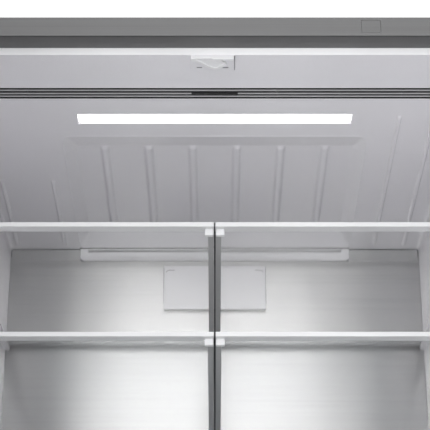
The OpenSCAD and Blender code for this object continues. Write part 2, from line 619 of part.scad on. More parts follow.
module door_hinges() color([0.45, 0.45, 0.46]) at_case() both_sides() {
    // top: plate on the case, pin down into the door
    difference() {
        translate([0, 0, case_h]) linear_extrude(4) union() {
            translate([422, 30]) round_rect(52, 118, 8);
            translate([hinge_x - 2, -hinge_y]) circle(7.5);
        }
        for (y = [20, 70]) translate([422, y, case_h - 1]) cylinder(r = 3.2, h = 6);
    }
    translate([hinge_x, -hinge_y, door_top - 22]) cylinder(r = hinge_pin_r, h = case_h + 2 - door_top + 22);
    // middle: angle on the crossbar, pin up into the door
    box([404, -3, 701], [452, 0, 713]);
    difference() {
        translate([0, 0, 704.5]) linear_extrude(4) union() {
            translate([430, -13]) square([44, 24], center = true);
            translate([hinge_x, -hinge_y]) circle(10);
        }
        box([404, -0.5, 700], [460, 10, 720]);
    }
    translate([hinge_x, -hinge_y, 705]) cylinder(r = hinge_pin_r, h = door_z0 + 22 - 705);
    translate([hinge_x, -hinge_y, 708]) cylinder(r = 9, h = door_z0 - 708 - 0.3);
}

module hinge_covers() color([0.5, 0.5, 0.51]) at_case() both_sides() translate([0, 0, case_h]) difference() {
    linear_extrude(26) translate([418, 32]) round_rect(70, 134, 12);
    translate([0, 0, -1]) linear_extrude(24.5) translate([418, 32]) round_rect(64, 128, 9.5);
}

// ---------- freezer drawer, drawn closed ----------

freezer_front_z0 = 79;
freezer_front_z1 = 701;
module freezer_front() color([0.7, 0.7, 0.71]) at_case() {
    difference() {
        translate([0, 0, freezer_front_z0]) linear_extrude(freezer_front_z1 - freezer_front_z0) polygon([
            [-case_x, door_y1], [-case_x, door_y0 + 6], [-case_x + 6, door_y0], [case_x - 6, door_y0],
            [case_x, door_y0 + 6], [case_x, door_y1]]);
        box([-case_x + sheet, door_y0 + sheet + 5, freezer_front_z0 + sheet],
            [case_x - sheet, door_y1 - sheet, freezer_front_z1 - sheet]);
        box([-case_x + 8, door_y0 + sheet, freezer_front_z0 + sheet],
            [case_x - 8, door_y1 - sheet, freezer_front_z1 - sheet]);
    }
}

module freezer_gasket() color([0.6, 0.6, 0.61]) at_case()
    rim(-case_x + 12, case_x - 12, freezer_front_z0 + 4, freezer_front_z1 - 2, door_y1, -0.3, 16);

module freezer_handle() color([0.72, 0.72, 0.73]) at_case() {
    x_rod(door_y0 - 47, 640, -380, 380, 12);
    for (x = [-320, 320]) y_rod(x, 640, door_y0 - 47, door_y0, 9);
}

slide_z = 330;
slide_y1 = freezer_travel + 40;
module freezer_basket() color([0.92, 0.92, 0.93]) at_case() {
    difference() {
        tray([-352, -2, 150], [352, 436, 560], 3);
        for (i = [-6:6]) box([i * 50 - 15, -5, 480], [i * 50 + 15, 440, 530]);
    }
}

module freezer_slides() color([0.65, 0.65, 0.66]) at_case() {
    both_sides() {
        box([362, door_y1 + 1, slide_z], [376, slide_y1, slide_z + 30]);
        box([352, -2, slide_z + 6], [364, slide_y1 - 10, slide_z + 10]);
        box([340, door_y1, slide_z - 20], [376, door_y1 + 3, slide_z + 60]);
    }
}

module freezer_rails() color([0.6, 0.6, 0.61]) at_case() both_sides() difference() {
    box([370, 6, slide_z - 5], [freezer_x, slide_y1 + 6, slide_z + 35]);
    box([369, 0, slide_z - 0.4], [376.4, slide_y1 + 4, slide_z + 30.4]);
}

// ---------- machinery ----------

// Outline of the compressor can, shrunk by g
module can_outline(g) {
    translate([0, g]) square([78 - g, 100 - g]);
    translate([0, 99.9]) intersection() {
        circle(78 - g);
        square([78, 60 - g]);
    }
}
module compressor() color([0.12, 0.12, 0.13]) at_case() translate([-220, 610, 50]) {
    translate([0, 0, 22]) rotate_extrude() union() {
        difference() {
            union() {
                can_outline(0);
                square([84, 8]);
            }
            can_outline(3.5);
        }
        square([46, 90]);
    }
    for (x = [-1, 1], y = [-1, 1]) translate([x * 70, y * 70, 0]) {
        cylinder(r = 10, h = 18);
        translate([0, 0, 17]) cylinder(r = 16, h = 6);
    }
}

module condenser() color([0.15, 0.15, 0.16]) at_case() {
    for (i = [0:21]) box([60 + i * 12, 560, 62], [61 + i * 12, 660, 240]);
    for (row = [0:3], col = [0:1]) x_rod(585 + col * 50, 84 + row * 44, 52, 320, 5);
    for (x = [64, 304]) box([x, 556, 50], [x + 4, 664, 244]);
}

module condenser_fan() color([0.2, 0.2, 0.22]) at_case() translate([fan_x - 9, fan_y, fan_z]) rotate([0, 0, -90])
    fan_rotor(72, 22, 18, 3, 5);

module evaporator() color([0.75, 0.75, 0.77]) at_case() {
    for (i = [0:30]) box([-240 + i * 16, 600, 440], [-239 + i * 16, 640, 660]);
    for (row = [0:4], col = [0:1]) x_rod(610 + col * 20, 462 + row * 44, -250, 250, 4.5);
}

cabinet_shell();
face_frame();
insulation_foam();
back_cover();
base_pan();
toe_grille();
levelling_feet();
rear_rollers();
top_fascia();
fascia_hatch();
mullion_guide();
fridge_liner();
vent_grille();
light_board();
light_lens();
rear_panel();
air_duct();
duct_fan();
filter_cover();
filter_cartridge();
shelf_tracks();
shelf_arms();
upper_left_glass();
upper_right_glass();
lower_left_glass();
lower_right_glass();
upper_left_trim();
upper_right_trim();
lower_left_trim();
lower_right_trim();
crisper_frame();
crisper_glass();
crisper_left();
crisper_right();
humidity_slider();
pantry_drawer();
left_door_skin();
left_door_liner();
left_door_gasket();
left_door_handle();
left_door_bins();
right_door_skin();
right_door_liner();
right_door_gasket();
right_door_handle();
right_door_bins();
mullion_flap();
door_hinges();
hinge_covers();
freezer_liner();
freezer_front();
freezer_gasket();
freezer_handle();
freezer_basket();
freezer_rails();
freezer_slides();
compressor();
condenser();
condenser_fan();
evaporator();
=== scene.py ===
"""French door refrigerator: the looks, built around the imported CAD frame.

Lengths are metres, and MM turns millimetres into metres.
"""

import json
import math

import bmesh
import bpy
from mathutils import Matrix, Vector


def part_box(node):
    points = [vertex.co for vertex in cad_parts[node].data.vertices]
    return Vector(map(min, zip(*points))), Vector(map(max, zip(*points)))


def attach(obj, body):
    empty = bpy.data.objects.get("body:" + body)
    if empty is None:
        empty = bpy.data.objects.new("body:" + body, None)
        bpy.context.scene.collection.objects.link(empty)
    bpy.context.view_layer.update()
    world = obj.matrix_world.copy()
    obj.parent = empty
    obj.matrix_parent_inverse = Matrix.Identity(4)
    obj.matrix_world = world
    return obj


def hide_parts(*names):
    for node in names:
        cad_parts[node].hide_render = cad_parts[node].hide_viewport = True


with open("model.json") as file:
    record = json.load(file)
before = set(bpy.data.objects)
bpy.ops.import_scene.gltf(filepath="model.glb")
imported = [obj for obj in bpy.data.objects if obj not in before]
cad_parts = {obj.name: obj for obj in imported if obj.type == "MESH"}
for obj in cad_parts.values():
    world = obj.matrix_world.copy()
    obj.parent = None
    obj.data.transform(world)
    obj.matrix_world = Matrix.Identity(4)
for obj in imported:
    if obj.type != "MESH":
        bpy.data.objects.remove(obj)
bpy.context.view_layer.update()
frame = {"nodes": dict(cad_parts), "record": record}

MM = 0.001

# ---------- driving dimensions; all but SIDE_RIBS are the same as the CAD source's ----------

SLOPE = math.radians(3.4)       # the ceiling falls to the back by this
FLANGE_H = 12 * MM
OPENING_W = 804 * MM
BACK_W = 776 * MM
INNER_D = 660 * MM
DUCT_D = 30 * MM
LINER_T = 2.5 * MM
PANEL_X = 255 * MM              # half width of the ceiling panel
PANEL_Y = (246 * MM, 654 * MM)  # front and back of the ceiling panel
PANEL_H = 12 * MM               # height of the ceiling panel's pocket
BEVEL_X = 20 * MM
BEVEL_Y = (50 * MM, 45 * MM)    # front and back bevels of the pocket
VENT_X = 386 * MM
VENT_Y = (92.6 * MM, 126.4 * MM)
LAMP_X = 223.5 * MM
LAMP_Y = (173.6 * MM, 202.5 * MM)
RIB_PITCH = 75 * MM
RIB_COUNT = 6
SIDE_RIBS = ((-374 * MM, 393 * MM), (-284 * MM, 393 * MM),    # ribs beside the panel: x, and start in y
             (302 * MM, 176 * MM), (358 * MM, 176 * MM))
SLOT_PLAY = 0.4 * MM            # room in y round the vent and the lamp, in their ceiling pockets
SLOT_PLAY_X = 0.5 * MM          # the same in x

RIB_X = [(i - (RIB_COUNT - 1) / 2) * RIB_PITCH for i in range(RIB_COUNT)]

flange_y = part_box("face_frame")[0].y
ceiling_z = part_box("top_fascia")[0].z - FLANGE_H
floor_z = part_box("fridge_liner")[0].z + LINER_T


def half_width(y):
    """Half width of the fresh food room, y behind the flange."""
    return OPENING_W / 2 - (OPENING_W - BACK_W) / 2 * y / INNER_D


def ceiling_at(y):
    return ceiling_z - y * math.tan(SLOPE)


# ---------- materials ----------

class Surface:
    """A Principled material with a few procedural helpers."""

    def __init__(self, name, base, roughness, metallic=0.0):
        self.material = bpy.data.materials.new(name)
        self.material.use_nodes = True
        self.nodes = self.material.node_tree.nodes
        self.links = self.material.node_tree.links
        self.shader = self.nodes["Principled BSDF"]
        self.shader.inputs["Base Color"].default_value = (*base, 1)
        self.shader.inputs["Roughness"].default_value = roughness
        self.shader.inputs["Metallic"].default_value = metallic
        self.coords = self.nodes.new("ShaderNodeTexCoord").outputs["Object"]

    def noise(self, scale, detail=3.0, rough=0.5):
        """Noise whose cells are 1/scale metres along each axis."""
        mapping = self.nodes.new("ShaderNodeMapping")
        mapping.inputs["Scale"].default_value = scale
        self.links.new(self.coords, mapping.inputs["Vector"])
        tex = self.nodes.new("ShaderNodeTexNoise")
        tex.inputs["Scale"].default_value = 1
        tex.inputs["Detail"].default_value = detail
        tex.inputs["Roughness"].default_value = rough
        self.links.new(mapping.outputs["Vector"], tex.inputs["Vector"])
        return tex.outputs["Fac"]

    def blend(self, factor, low, high, start=0.3, end=0.7):
        """Colour or grey ramp from low to high."""
        ramp = self.nodes.new("ShaderNodeValToRGB")
        ramp.color_ramp.elements[0].position = start
        ramp.color_ramp.elements[1].position = end
        ramp.color_ramp.elements[0].color = (*low, 1)
        ramp.color_ramp.elements[1].color = (*high, 1)
        self.links.new(factor, ramp.inputs["Fac"])
        return ramp.outputs["Color"]

    def colour(self, factor, low, high, start=0.3, end=0.7):
        self.links.new(self.blend(factor, low, high, start, end), self.shader.inputs["Base Color"])
        return self

    def roughness(self, factor, low, high, start=0.3, end=0.7):
        mix = self.nodes.new("ShaderNodeMapRange")
        mix.inputs["From Min"].default_value = start
        mix.inputs["From Max"].default_value = end
        mix.inputs["To Min"].default_value = low
        mix.inputs["To Max"].default_value = high
        self.links.new(factor, mix.inputs["Value"])
        self.links.new(mix.outputs["Result"], self.shader.inputs["Roughness"])
        return self

    def bump(self, height, strength, distance):
        node = self.nodes.new("ShaderNodeBump")
        node.inputs["Strength"].default_value = strength
        node.inputs["Distance"].default_value = distance
        self.links.new(height, node.inputs["Height"])
        self.links.new(node.outputs["Normal"], self.shader.inputs["Normal"])
        return self

    def set(self, **values):
        for key, value in values.items():
            self.shader.inputs[key.replace("_", " ")].default_value = value
        return self


def tinted(base, change):
    return tuple(max(0, min(1, c * change)) for c in base)


def moulded(name, base, roughness, grain=2600, depth=0.02 * MM, spread=0.035):
    """Moulded plastic: faint mottling, fine grain."""
    s = Surface(name, base, roughness)
    cloud = s.noise((9, 9, 9), 2)
    s.colour(cloud, tinted(base, 1 - spread), tinted(base, 1 + spread))
    fine = s.noise((grain, grain, grain), 2)
    s.roughness(fine, roughness - 0.04, roughness + 0.05)
    return s.bump(fine, 0.25, depth)


def painted(name, base, roughness):
    """Powder-coated steel: orange-peel bump and slight tone changes."""
    s = Surface(name, base, roughness)
    cloud = s.noise((5, 5, 5), 3)
    s.colour(cloud, tinted(base, 0.94), tinted(base, 1.05))
    peel = s.noise((900, 900, 900), 2)
    s.roughness(peel, roughness - 0.05, roughness + 0.08)
    return s.bump(peel, 0.3, 0.03 * MM)


def brushed(name, base, roughness, along, contrast=0.07, groove=0.12):
    """Brushed steel. along is the axis index that the brush lines follow."""
    s = Surface(name, base, roughness, metallic=1.0)
    fine_scale = [1500.0] * 3
    fine_scale[along] = 7.0
    band_scale = [160.0] * 3
    band_scale[along] = 2.0
    fine = s.noise(fine_scale, 2, 0.6)
    band = s.noise(band_scale, 2)
    total = s.nodes.new("ShaderNodeMath")
    total.operation = "ADD"
    s.links.new(fine, total.inputs[0])
    s.links.new(band, total.inputs[1])
    value = total.outputs["Value"]
    s.colour(value, tinted(base, 1 - contrast), tinted(base, 1 + contrast), 0.6, 1.4)
    s.roughness(value, roughness - 0.42 * groove, roughness + 0.58 * groove, 0.6, 1.4)
    return s.bump(fine, groove, 0.02 * MM)


def stretched(surface, amount, across):
    """Spreads the highlights of a brushed surface across its brush lines."""
    direction = surface.nodes.new("ShaderNodeCombineXYZ")
    for socket, value in zip(direction.inputs, across):
        socket.default_value = value
    surface.links.new(direction.outputs["Vector"], surface.shader.inputs["Tangent"])
    return surface.set(Anisotropic=amount)


def streaked(name, base, roughness):
    """Satin grey film with faint streaks along x."""
    s = Surface(name, base, roughness)
    line = s.noise((2.5, 700, 700), 3)
    s.colour(line, tinted(base, 0.93), tinted(base, 1.06))
    s.roughness(line, roughness - 0.06, roughness + 0.06)
    return s.bump(line, 0.1, 0.02 * MM)


def see_through(name, base, rough, cells, weight, passed):
    """Clear material whose shadow is as light as a clear thing's is.

    rough is a range, cells its noise scale, weight the transmission and passed the colour of its shadow.
    """
    s = Surface(name, base, rough[0])
    s.roughness(s.noise((cells, cells, cells), 3), *rough)
    s.set(Transmission_Weight=weight, IOR=1.3)
    pane = s.nodes.new("ShaderNodeBsdfTransparent")
    pane.inputs["Color"].default_value = (*passed, 1)
    path = s.nodes.new("ShaderNodeLightPath")
    mix = s.nodes.new("ShaderNodeMixShader")
    s.links.new(path.outputs["Is Shadow Ray"], mix.inputs["Fac"])
    s.links.new(s.shader.outputs["BSDF"], mix.inputs[1])
    s.links.new(pane.outputs["BSDF"], mix.inputs[2])
    s.links.new(mix.outputs["Shader"], s.nodes["Material Output"].inputs["Surface"])
    return s


def glowing(name, base, strength):
    s = Surface(name, base, 0.4)
    cloud = s.noise((40, 40, 40), 2)
    s.colour(cloud, tinted(base, 0.97), base)
    s.shader.inputs["Emission Color"].default_value = (1.0, 0.99, 0.97, 1)
    s.shader.inputs["Emission Strength"].default_value = strength
    return s


MATERIALS = {
    "case_paint": painted("case_paint", (0.2, 0.2, 0.205), 0.45),
    "fascia_paint": streaked("fascia_paint", (0.135, 0.135, 0.137), 0.42),
    # painted shade: the fascia's film made darker for its underside
    "fascia_painted_shade": streaked("fascia_painted_shade", (0.095, 0.095, 0.097), 0.5),
    "frame_white": painted("frame_white", (0.93, 0.93, 0.95), 0.35),
    "foam": moulded("foam", (0.78, 0.7, 0.42), 0.9, grain=600, depth=0.3 * MM),
    "zinc_steel": brushed("zinc_steel", (0.5, 0.5, 0.5), 0.4, 0, 0.12),
    "door_steel": brushed("door_steel", (0.31, 0.31, 0.317), 0.4, 2, 0.12),
    "wall_steel": stretched(brushed("wall_steel", (0.42, 0.42, 0.42), 0.29, 0, 0.06, 0.018),
                            0.9, (0, 0, 1)),
    "handle_steel": brushed("handle_steel", (0.55, 0.55, 0.56), 0.25, 2),
    "bar_steel": brushed("bar_steel", (0.55, 0.55, 0.56), 0.25, 0),
    "dark_plastic": moulded("dark_plastic", (0.035, 0.035, 0.037), 0.5),
    "slat_plastic": moulded("slat_plastic", (0.4, 0.4, 0.41), 0.35),
    "grey_plastic": moulded("grey_plastic", (0.225, 0.225, 0.23), 0.42),
    "white_plastic": moulded("white_plastic", (0.73, 0.73, 0.745), 0.3),
    "liner_plastic": moulded("liner_plastic", (0.74, 0.73, 0.762), 0.25, spread=0.012),
    "trim_plastic": moulded("trim_plastic", (0.7, 0.7, 0.712), 0.35),
    "bar_plastic": moulded("bar_plastic", (0.27, 0.27, 0.28), 0.4),
    "black_plastic": moulded("black_plastic", (0.02, 0.02, 0.021), 0.45),
    "vent_black": moulded("vent_black", (0.006, 0.006, 0.006), 0.8).set(Specular_IOR_Level=0.05),
    "cover_plastic": moulded("cover_plastic", (0.66, 0.66, 0.68), 0.35, spread=0.015),
    "shelf_steel": painted("shelf_steel", (0.38, 0.38, 0.385), 0.4),
    "shelf_glass": see_through("shelf_glass", (0.985, 0.985, 0.985), (0.02, 0.05), 6, 1.0,
                               (0.93, 0.93, 0.93)),
    "clear_plastic": see_through("clear_plastic", (0.93, 0.965, 0.98), (0.06, 0.16), 30, 0.92,
                                 (0.75, 0.79, 0.8)),
    "gasket_rubber": moulded("gasket_rubber", (0.42, 0.42, 0.43), 0.6),
    "wheel_rubber": moulded("wheel_rubber", (0.03, 0.03, 0.03), 0.7, grain=1200),
    "lens_plastic": glowing("lens_plastic", (0.95, 0.95, 0.95), 1.3),
    "board": moulded("board", (0.75, 0.76, 0.7), 0.4),
    "black_enamel": painted("black_enamel", (0.012, 0.012, 0.013), 0.25),
    "copper": brushed("copper", (0.72, 0.4, 0.26), 0.35, 2, 0.08),
    "fin_aluminium": brushed("fin_aluminium", (0.72, 0.72, 0.74), 0.35, 2),
}

NODE_LOOK = {
    "upper_left_trim": "trim_plastic", "upper_right_trim": "trim_plastic",
    "lower_left_trim": "trim_plastic", "lower_right_trim": "trim_plastic",
    "top_fascia": "fascia_paint", "fascia_hatch": "fascia_paint", "hinge_covers": "fascia_paint",
    "rear_panel": "wall_steel", "filter_cover": "cover_plastic",
    "left_door_skin": "door_steel", "right_door_skin": "door_steel", "freezer_front": "door_steel",
    "left_door_handle": "handle_steel", "right_door_handle": "handle_steel", "freezer_handle": "bar_steel",
}


def look_of(node):
    """Material for a CAD node: its own entry, or the one named like its slot."""
    slot = next(s["material_slot"] for s in frame["record"]["subparts"] if s["node"] == node)
    return MATERIALS[NODE_LOOK.get(node, slot)].material


def body_of(node):
    """Body that a CAD node belongs to."""
    return next(b for b, nodes in frame["record"]["behaviour"]["bodies"].items() if node in nodes)


for node_name, node_object in frame["nodes"].items():
    for index in range(max(1, len(node_object.data.materials))):
        if node_object.data.materials:
            node_object.data.materials[index] = look_of(node_name)
        else:
            node_object.data.materials.append(look_of(node_name))


# ---------- mesh helpers ----------

SMOOTH_ANGLE = 32               # degrees; a sharper edge is drawn as an edge


def shade(mesh, angle=SMOOTH_ANGLE):
    mesh.polygons.foreach_set("use_smooth", [True] * len(mesh.polygons))
    mesh.set_sharp_from_angle(angle=math.radians(angle))


def piece(name, bm, material, node=None, body=None, replaces=(), angle=SMOOTH_ANGLE):
    """Makes an object from a bmesh, and rides it on a body, or on the body that holds a CAD node."""
    bmesh.ops.recalc_face_normals(bm, faces=bm.faces)
    mesh = bpy.data.meshes.new(name)
    bm.to_mesh(mesh)
    bm.free()
    shade(mesh, angle)
    obj = bpy.data.objects.new(name, mesh)
    bpy.context.scene.collection.objects.link(obj)
    mesh.materials.append(material)
    flat = obj.modifiers.new("flat_faces", "WEIGHTED_NORMAL")
    flat.keep_sharp = True
    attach(obj, body or body_of(node))
    if replaces:
        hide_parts(*replaces)
    return obj


def cad_bmesh(node):
    """The node's mesh with its triangles joined back into flat faces."""
    bm = bmesh.new()
    bm.from_mesh(frame["nodes"][node].data)
    bmesh.ops.remove_doubles(bm, verts=bm.verts, dist=0.004 * MM)
    bmesh.ops.dissolve_limit(bm, angle_limit=math.radians(0.5), verts=bm.verts, edges=bm.edges)
    return bm


def merge(bm, part):
    """Moves part's geometry into bm."""
    mesh = bpy.data.meshes.new("part")
    part.to_mesh(mesh)
    part.free()
    bm.from_mesh(mesh)
    bpy.data.meshes.remove(mesh)


def round_edges(bm, width, segments=2):
    """Rounds every edge whose faces meet at more than 30 degrees."""
    sharp = [e for e in bm.edges if len(e.link_faces) == 2 and e.calc_face_angle(0) > math.radians(30)]
    bmesh.ops.bevel(bm, geom=sharp, offset=width, segments=segments, profile=0.6, affect="EDGES",
                    clamp_overlap=True)


def rounded(node, width):
    """Replaces a CAD node with a copy whose edges are rounded."""
    bm = cad_bmesh(node)
    round_edges(bm, width)
    return piece(node + "_shape", bm, look_of(node), node, replaces=(node,))


def bridge(bm, near, far):
    """Joins two rings of equally many points with a band of faces."""
    for i in range(len(near)):
        j = (i + 1) % len(near)
        bm.faces.new((near[i], near[j], far[j], far[i]))


# ---------- fresh food liner ----------

def smooth(t):
    t = max(0.0, min(1.0, t))
    return t * t * (3 - 2 * t)


def ramp_lines(at, width, steps=6):
    """Grid lines across a transition of the given width that starts at `at`."""
    return [at + width * i / steps for i in range(steps + 1)]


def rounded_ramp(t, soft=0.05):
    """0 below 0, t up to 1, 1 above it, with its two corners rounded."""
    def knee(u):
        return 0.0 if u < -soft else (u + soft) ** 2 / (4 * soft) if u < soft else u
    return knee(t) - knee(t - 1)


def panel_height(x, y):
    """Height of the pocket, and the small bead round its mouth that stands down from the ceiling."""
    steps_in = ((PANEL_X - abs(x)) / BEVEL_X, (y - PANEL_Y[0]) / BEVEL_Y[0],
                (PANEL_Y[1] - y) / BEVEL_Y[1])
    t = 1 - sum(max(0.0, 1 - step) ** 4 for step in steps_in) ** 0.25
    bead = 0.7 * MM * max(0.0, 1 - ((t + 0.05) / 0.035) ** 2)
    return PANEL_H * rounded_ramp(t) - bead


def rib_height(x, y):
    """Ribs stand down from the surface."""
    drop = 0.0
    ends = smooth((y - PANEL_Y[0] - BEVEL_Y[0] + 6 * MM) / (10 * MM))
    ends *= smooth((PANEL_Y[1] - BEVEL_Y[1] - 10 * MM - y) / (12 * MM))
    for centre in RIB_X:
        drop = max(drop, 5 * MM * smooth(1.35 - abs(x - centre) / (6.5 * MM)) * ends)
    for centre, start in SIDE_RIBS:
        ends = smooth((y - start) / (8 * MM)) * smooth((INNER_D - 14 * MM - y) / (8 * MM))
        drop = max(drop, 3 * MM * smooth(1.5 - abs(x - centre) / (3 * MM)) * ends)
    return drop


def slot_height(x, y):
    """Pockets that hold the vent and the lamp."""
    for half, (low, high), height in ((VENT_X, VENT_Y, 16.5 * MM), (LAMP_X, LAMP_Y, 11 * MM)):
        if abs(x) < half + SLOT_PLAY_X and low - SLOT_PLAY < y < high + SLOT_PLAY:
            return height
    return 0.0


def liner_piece():
    """One continuous skin: floor, walls and ceiling with its panel, ribs and pockets, closed at the back."""
    corner = 5 * MM
    deep = INNER_D + DUCT_D
    wall_step = 0.2 * MM
    xs = {0.0}
    for centre in RIB_X:
        xs.update(centre + k * 1.6 * MM for k in range(-6, 7))
    for side in (-1, 1):
        xs.update(side * (PANEL_X - t) for t in ramp_lines(-3 * MM, BEVEL_X + 6 * MM, 29))
        for edge in (LAMP_X, VENT_X):
            xs.update((side * (edge + SLOT_PLAY_X - wall_step), side * (edge + SLOT_PLAY_X + wall_step)))
    for centre, _ in SIDE_RIBS:
        xs.update(centre + k * 0.9 * MM for k in range(-5, 6))
    xs = sorted(xs)
    ys = {0.0, 3 * MM, 20 * MM, 50 * MM, 140 * MM, 155 * MM, 225 * MM, deep}
    for low, high in (VENT_Y, LAMP_Y):
        for edge in (low - SLOT_PLAY, high + SLOT_PLAY):
            ys.update((edge - wall_step, edge + wall_step))
    ys.update(ramp_lines(PANEL_Y[0] - 6 * MM, 30 * MM, 30))
    ys.update(ramp_lines(PANEL_Y[0] + 26 * MM, 30 * MM, 15))
    ys.update(ramp_lines(PANEL_Y[1] - BEVEL_Y[1] - 6 * MM, BEVEL_Y[1] - 6 * MM, 13))
    ys.update(ramp_lines(PANEL_Y[1] - 10 * MM, 15 * MM, 15))
    ys.update(ramp_lines(PANEL_Y[0] + BEVEL_Y[0] - 6 * MM, 10 * MM, 5))
    ys.update(ramp_lines(PANEL_Y[1] - BEVEL_Y[1] - 22 * MM, 12 * MM, 5))
    for _, start in SIDE_RIBS:
        ys.update(ramp_lines(start, 8 * MM, 4))
    ys.update(ramp_lines(INNER_D - 22 * MM, 8 * MM, 4))
    ys.update(PANEL_Y[0] + 60 * MM + i * 25 * MM for i in range(12))
    ys = sorted(ys)

    def ring(y):
        """The room's outline at y, as (x, z) points."""
        hw, top = half_width(y), ceiling_at(y)
        limit = hw - corner
        points = []
        for t in range(9):
            points.append((-limit + 2 * limit * t / 8, floor_z))
        for t in range(1, 6):
            a = math.radians(-90 + 15 * t)
            points.append((limit + corner * math.cos(a), floor_z + corner + corner * math.sin(a)))
        for t in range(8):
            points.append((hw, floor_z + corner + (top - floor_z - 2 * corner) * t / 7))
        for t in range(1, 6):
            a = math.radians(15 * t)
            points.append((limit + corner * math.cos(a), top - corner + corner * math.sin(a)))
        for k, x in enumerate(reversed(xs)):
            margin = 0.05 * MM * (k if x > 0 else len(xs) - 1 - k)
            x = max(-limit + margin, min(limit - margin, x))
            points.append((x, top + panel_height(x, y) + slot_height(x, y) - rib_height(x, y)))
        for t in range(1, 6):
            a = math.radians(90 + 15 * t)
            points.append((-limit + corner * math.cos(a), top - corner + corner * math.sin(a)))
        for t in range(8):
            points.append((-hw, top - corner - (top - floor_z - 2 * corner) * t / 7))
        for t in range(1, 6):
            a = math.radians(180 + 15 * t)
            points.append((-limit + corner * math.cos(a), floor_z + corner + corner * math.sin(a)))
        return points

    bm = bmesh.new()
    rows = []
    for y in ys:
        rows.append([bm.verts.new((x, flange_y + y, z)) for x, z in ring(y)])
    for near, far in zip(rows, rows[1:]):
        bridge(bm, near, far)
    bm.faces.new(rows[-1])
    bmesh.ops.recalc_face_normals(bm, faces=bm.faces)
    piece("liner_skin", bm, MATERIALS["liner_plastic"].material, "fridge_liner", replaces=("fridge_liner",),
          angle=50)


liner_piece()


# ---------- shape helpers ----------

def frame_matrix(*steps):
    """Product of matrices, left to right."""
    total = Matrix.Identity(4)
    for step in steps:
        total = total @ step
    return total


def move(x, y, z):
    return Matrix.Translation((x, y, z))


def turn(degrees, axis):
    return Matrix.Rotation(math.radians(degrees), 4, axis)


# frames that pieces are made in: the flange's plane, the ceiling's front edge, and the two doors, which are
# made closed and then turned to 90 degrees open
CASE = move(0, flange_y, 0)
CEILING = frame_matrix(move(0, flange_y, ceiling_z), Matrix.Rotation(-SLOPE, 4, "X"))
HINGE_X, HINGE_Y = 442 * MM, 24 * MM
RIGHT_DOOR = frame_matrix(CASE, move(HINGE_X, -HINGE_Y, 0), turn(90, "Z"), move(-HINGE_X, HINGE_Y, 0))
LEFT_DOOR = frame_matrix(Matrix.Scale(-1, 4, (1, 0, 0)), RIGHT_DOOR)
DOORS = (("right", RIGHT_DOOR), ("left", LEFT_DOOR))


def mm(*values):
    """Millimetres to metres."""
    return tuple(v * MM for v in values)


def outline(points):
    """Points in millimetres to vectors in metres."""
    return [Vector((x * MM, y * MM)) for x, y in points]


def round_outline(w, h, r, steps=6, cx=0.0, cy=0.0):
    """Rectangle with round corners, millimetres in, metres out."""
    points = []
    for sx, sy, start in ((1, 1, 0), (-1, 1, 90), (-1, -1, 180), (1, -1, 270)):
        for i in range(steps + 1):
            a = math.radians(start + 90 * i / steps)
            points.append((cx + sx * (w / 2 - r) + r * math.cos(a), cy + sy * (h / 2 - r) + r * math.sin(a)))
    return outline(points)


def add_prism(bm, points, low, high):
    """Adds an outline in x and y, extruded from z = low to high (millimetres)."""
    bottom = [bm.verts.new((p.x, p.y, low * MM)) for p in points]
    top = [bm.verts.new((p.x, p.y, high * MM)) for p in points]
    bm.faces.new(bottom[::-1])
    bm.faces.new(top)
    bridge(bm, bottom, top)


def add_box(bm, low, high):
    """Adds a box between two corners, millimetres."""
    (x0, y0, z0), (x1, y1, z1) = low, high
    add_prism(bm, outline([(x0, y0), (x1, y0), (x1, y1), (x0, y1)]), z0, z1)


def close_rings(bm, rings):
    """Bands between rings, and a face over the first and the last one."""
    for near, far in zip(rings, rings[1:]):
        bridge(bm, near, far)
    bm.faces.new(rings[0])
    bm.faces.new(rings[-1])


def add_lathe(bm, profile, steps=48, matrix=Matrix.Identity(4)):
    """Turns (radius, height) points in millimetres round z, and closes the ends on the axis."""
    rings = []
    for r, z in profile:
        if r < 1e-6:
            rings.append([bm.verts.new(matrix @ Vector((0, 0, z * MM)))])
        else:
            rings.append([bm.verts.new(matrix @ Vector((r * MM * math.cos(t), r * MM * math.sin(t), z * MM)))
                          for t in (2 * math.pi * i / steps for i in range(steps))])
    for near, far in zip(rings, rings[1:]):
        for i in range(steps):
            j = (i + 1) % steps
            corners = [near[i % len(near)], near[j % len(near)], far[j % len(far)], far[i % len(far)]]
            unique = list(dict.fromkeys(corners))
            if len(unique) > 2:
                bm.faces.new(unique)
    if profile[0] != profile[-1]:
        for ring in (rings[0], rings[-1]):
            if len(ring) > 1:
                bm.faces.new(ring)


def add_tube(bm, path, radius, steps=12):
    """Round tube along points in metres, with closed ends."""
    points = [Vector(p) for p in path]
    rings = []
    side = None
    for i, point in enumerate(points):
        ahead = (points[min(i + 1, len(points) - 1)] - points[max(i - 1, 0)]).normalized()
        if side is None:
            side = ahead.orthogonal().normalized()
        side = (side - ahead * side.dot(ahead)).normalized()
        other = ahead.cross(side)
        rings.append([bm.verts.new(point + radius * (side * math.cos(t) + other * math.sin(t)))
                      for t in (2 * math.pi * k / steps for k in range(steps))])
    close_rings(bm, rings)


def add_frame(bm, x0, x1, z0, z1, profile):
    """Sweeps (inwards, y) profile points round a rectangle in x and z; all millimetres."""
    loops = []
    for u, v in profile:
        loops.append([bm.verts.new(mm(x, v, z)) for x, z in
                      ((x0 + u, z0 + u), (x1 - u, z0 + u), (x1 - u, z1 - u), (x0 + u, z1 - u))])
    for near, far in zip(loops, loops[1:] + loops[:1]):
        bridge(bm, near, far)


def place(bm, matrix):
    bmesh.ops.transform(bm, matrix=matrix, verts=bm.verts)
    return bm


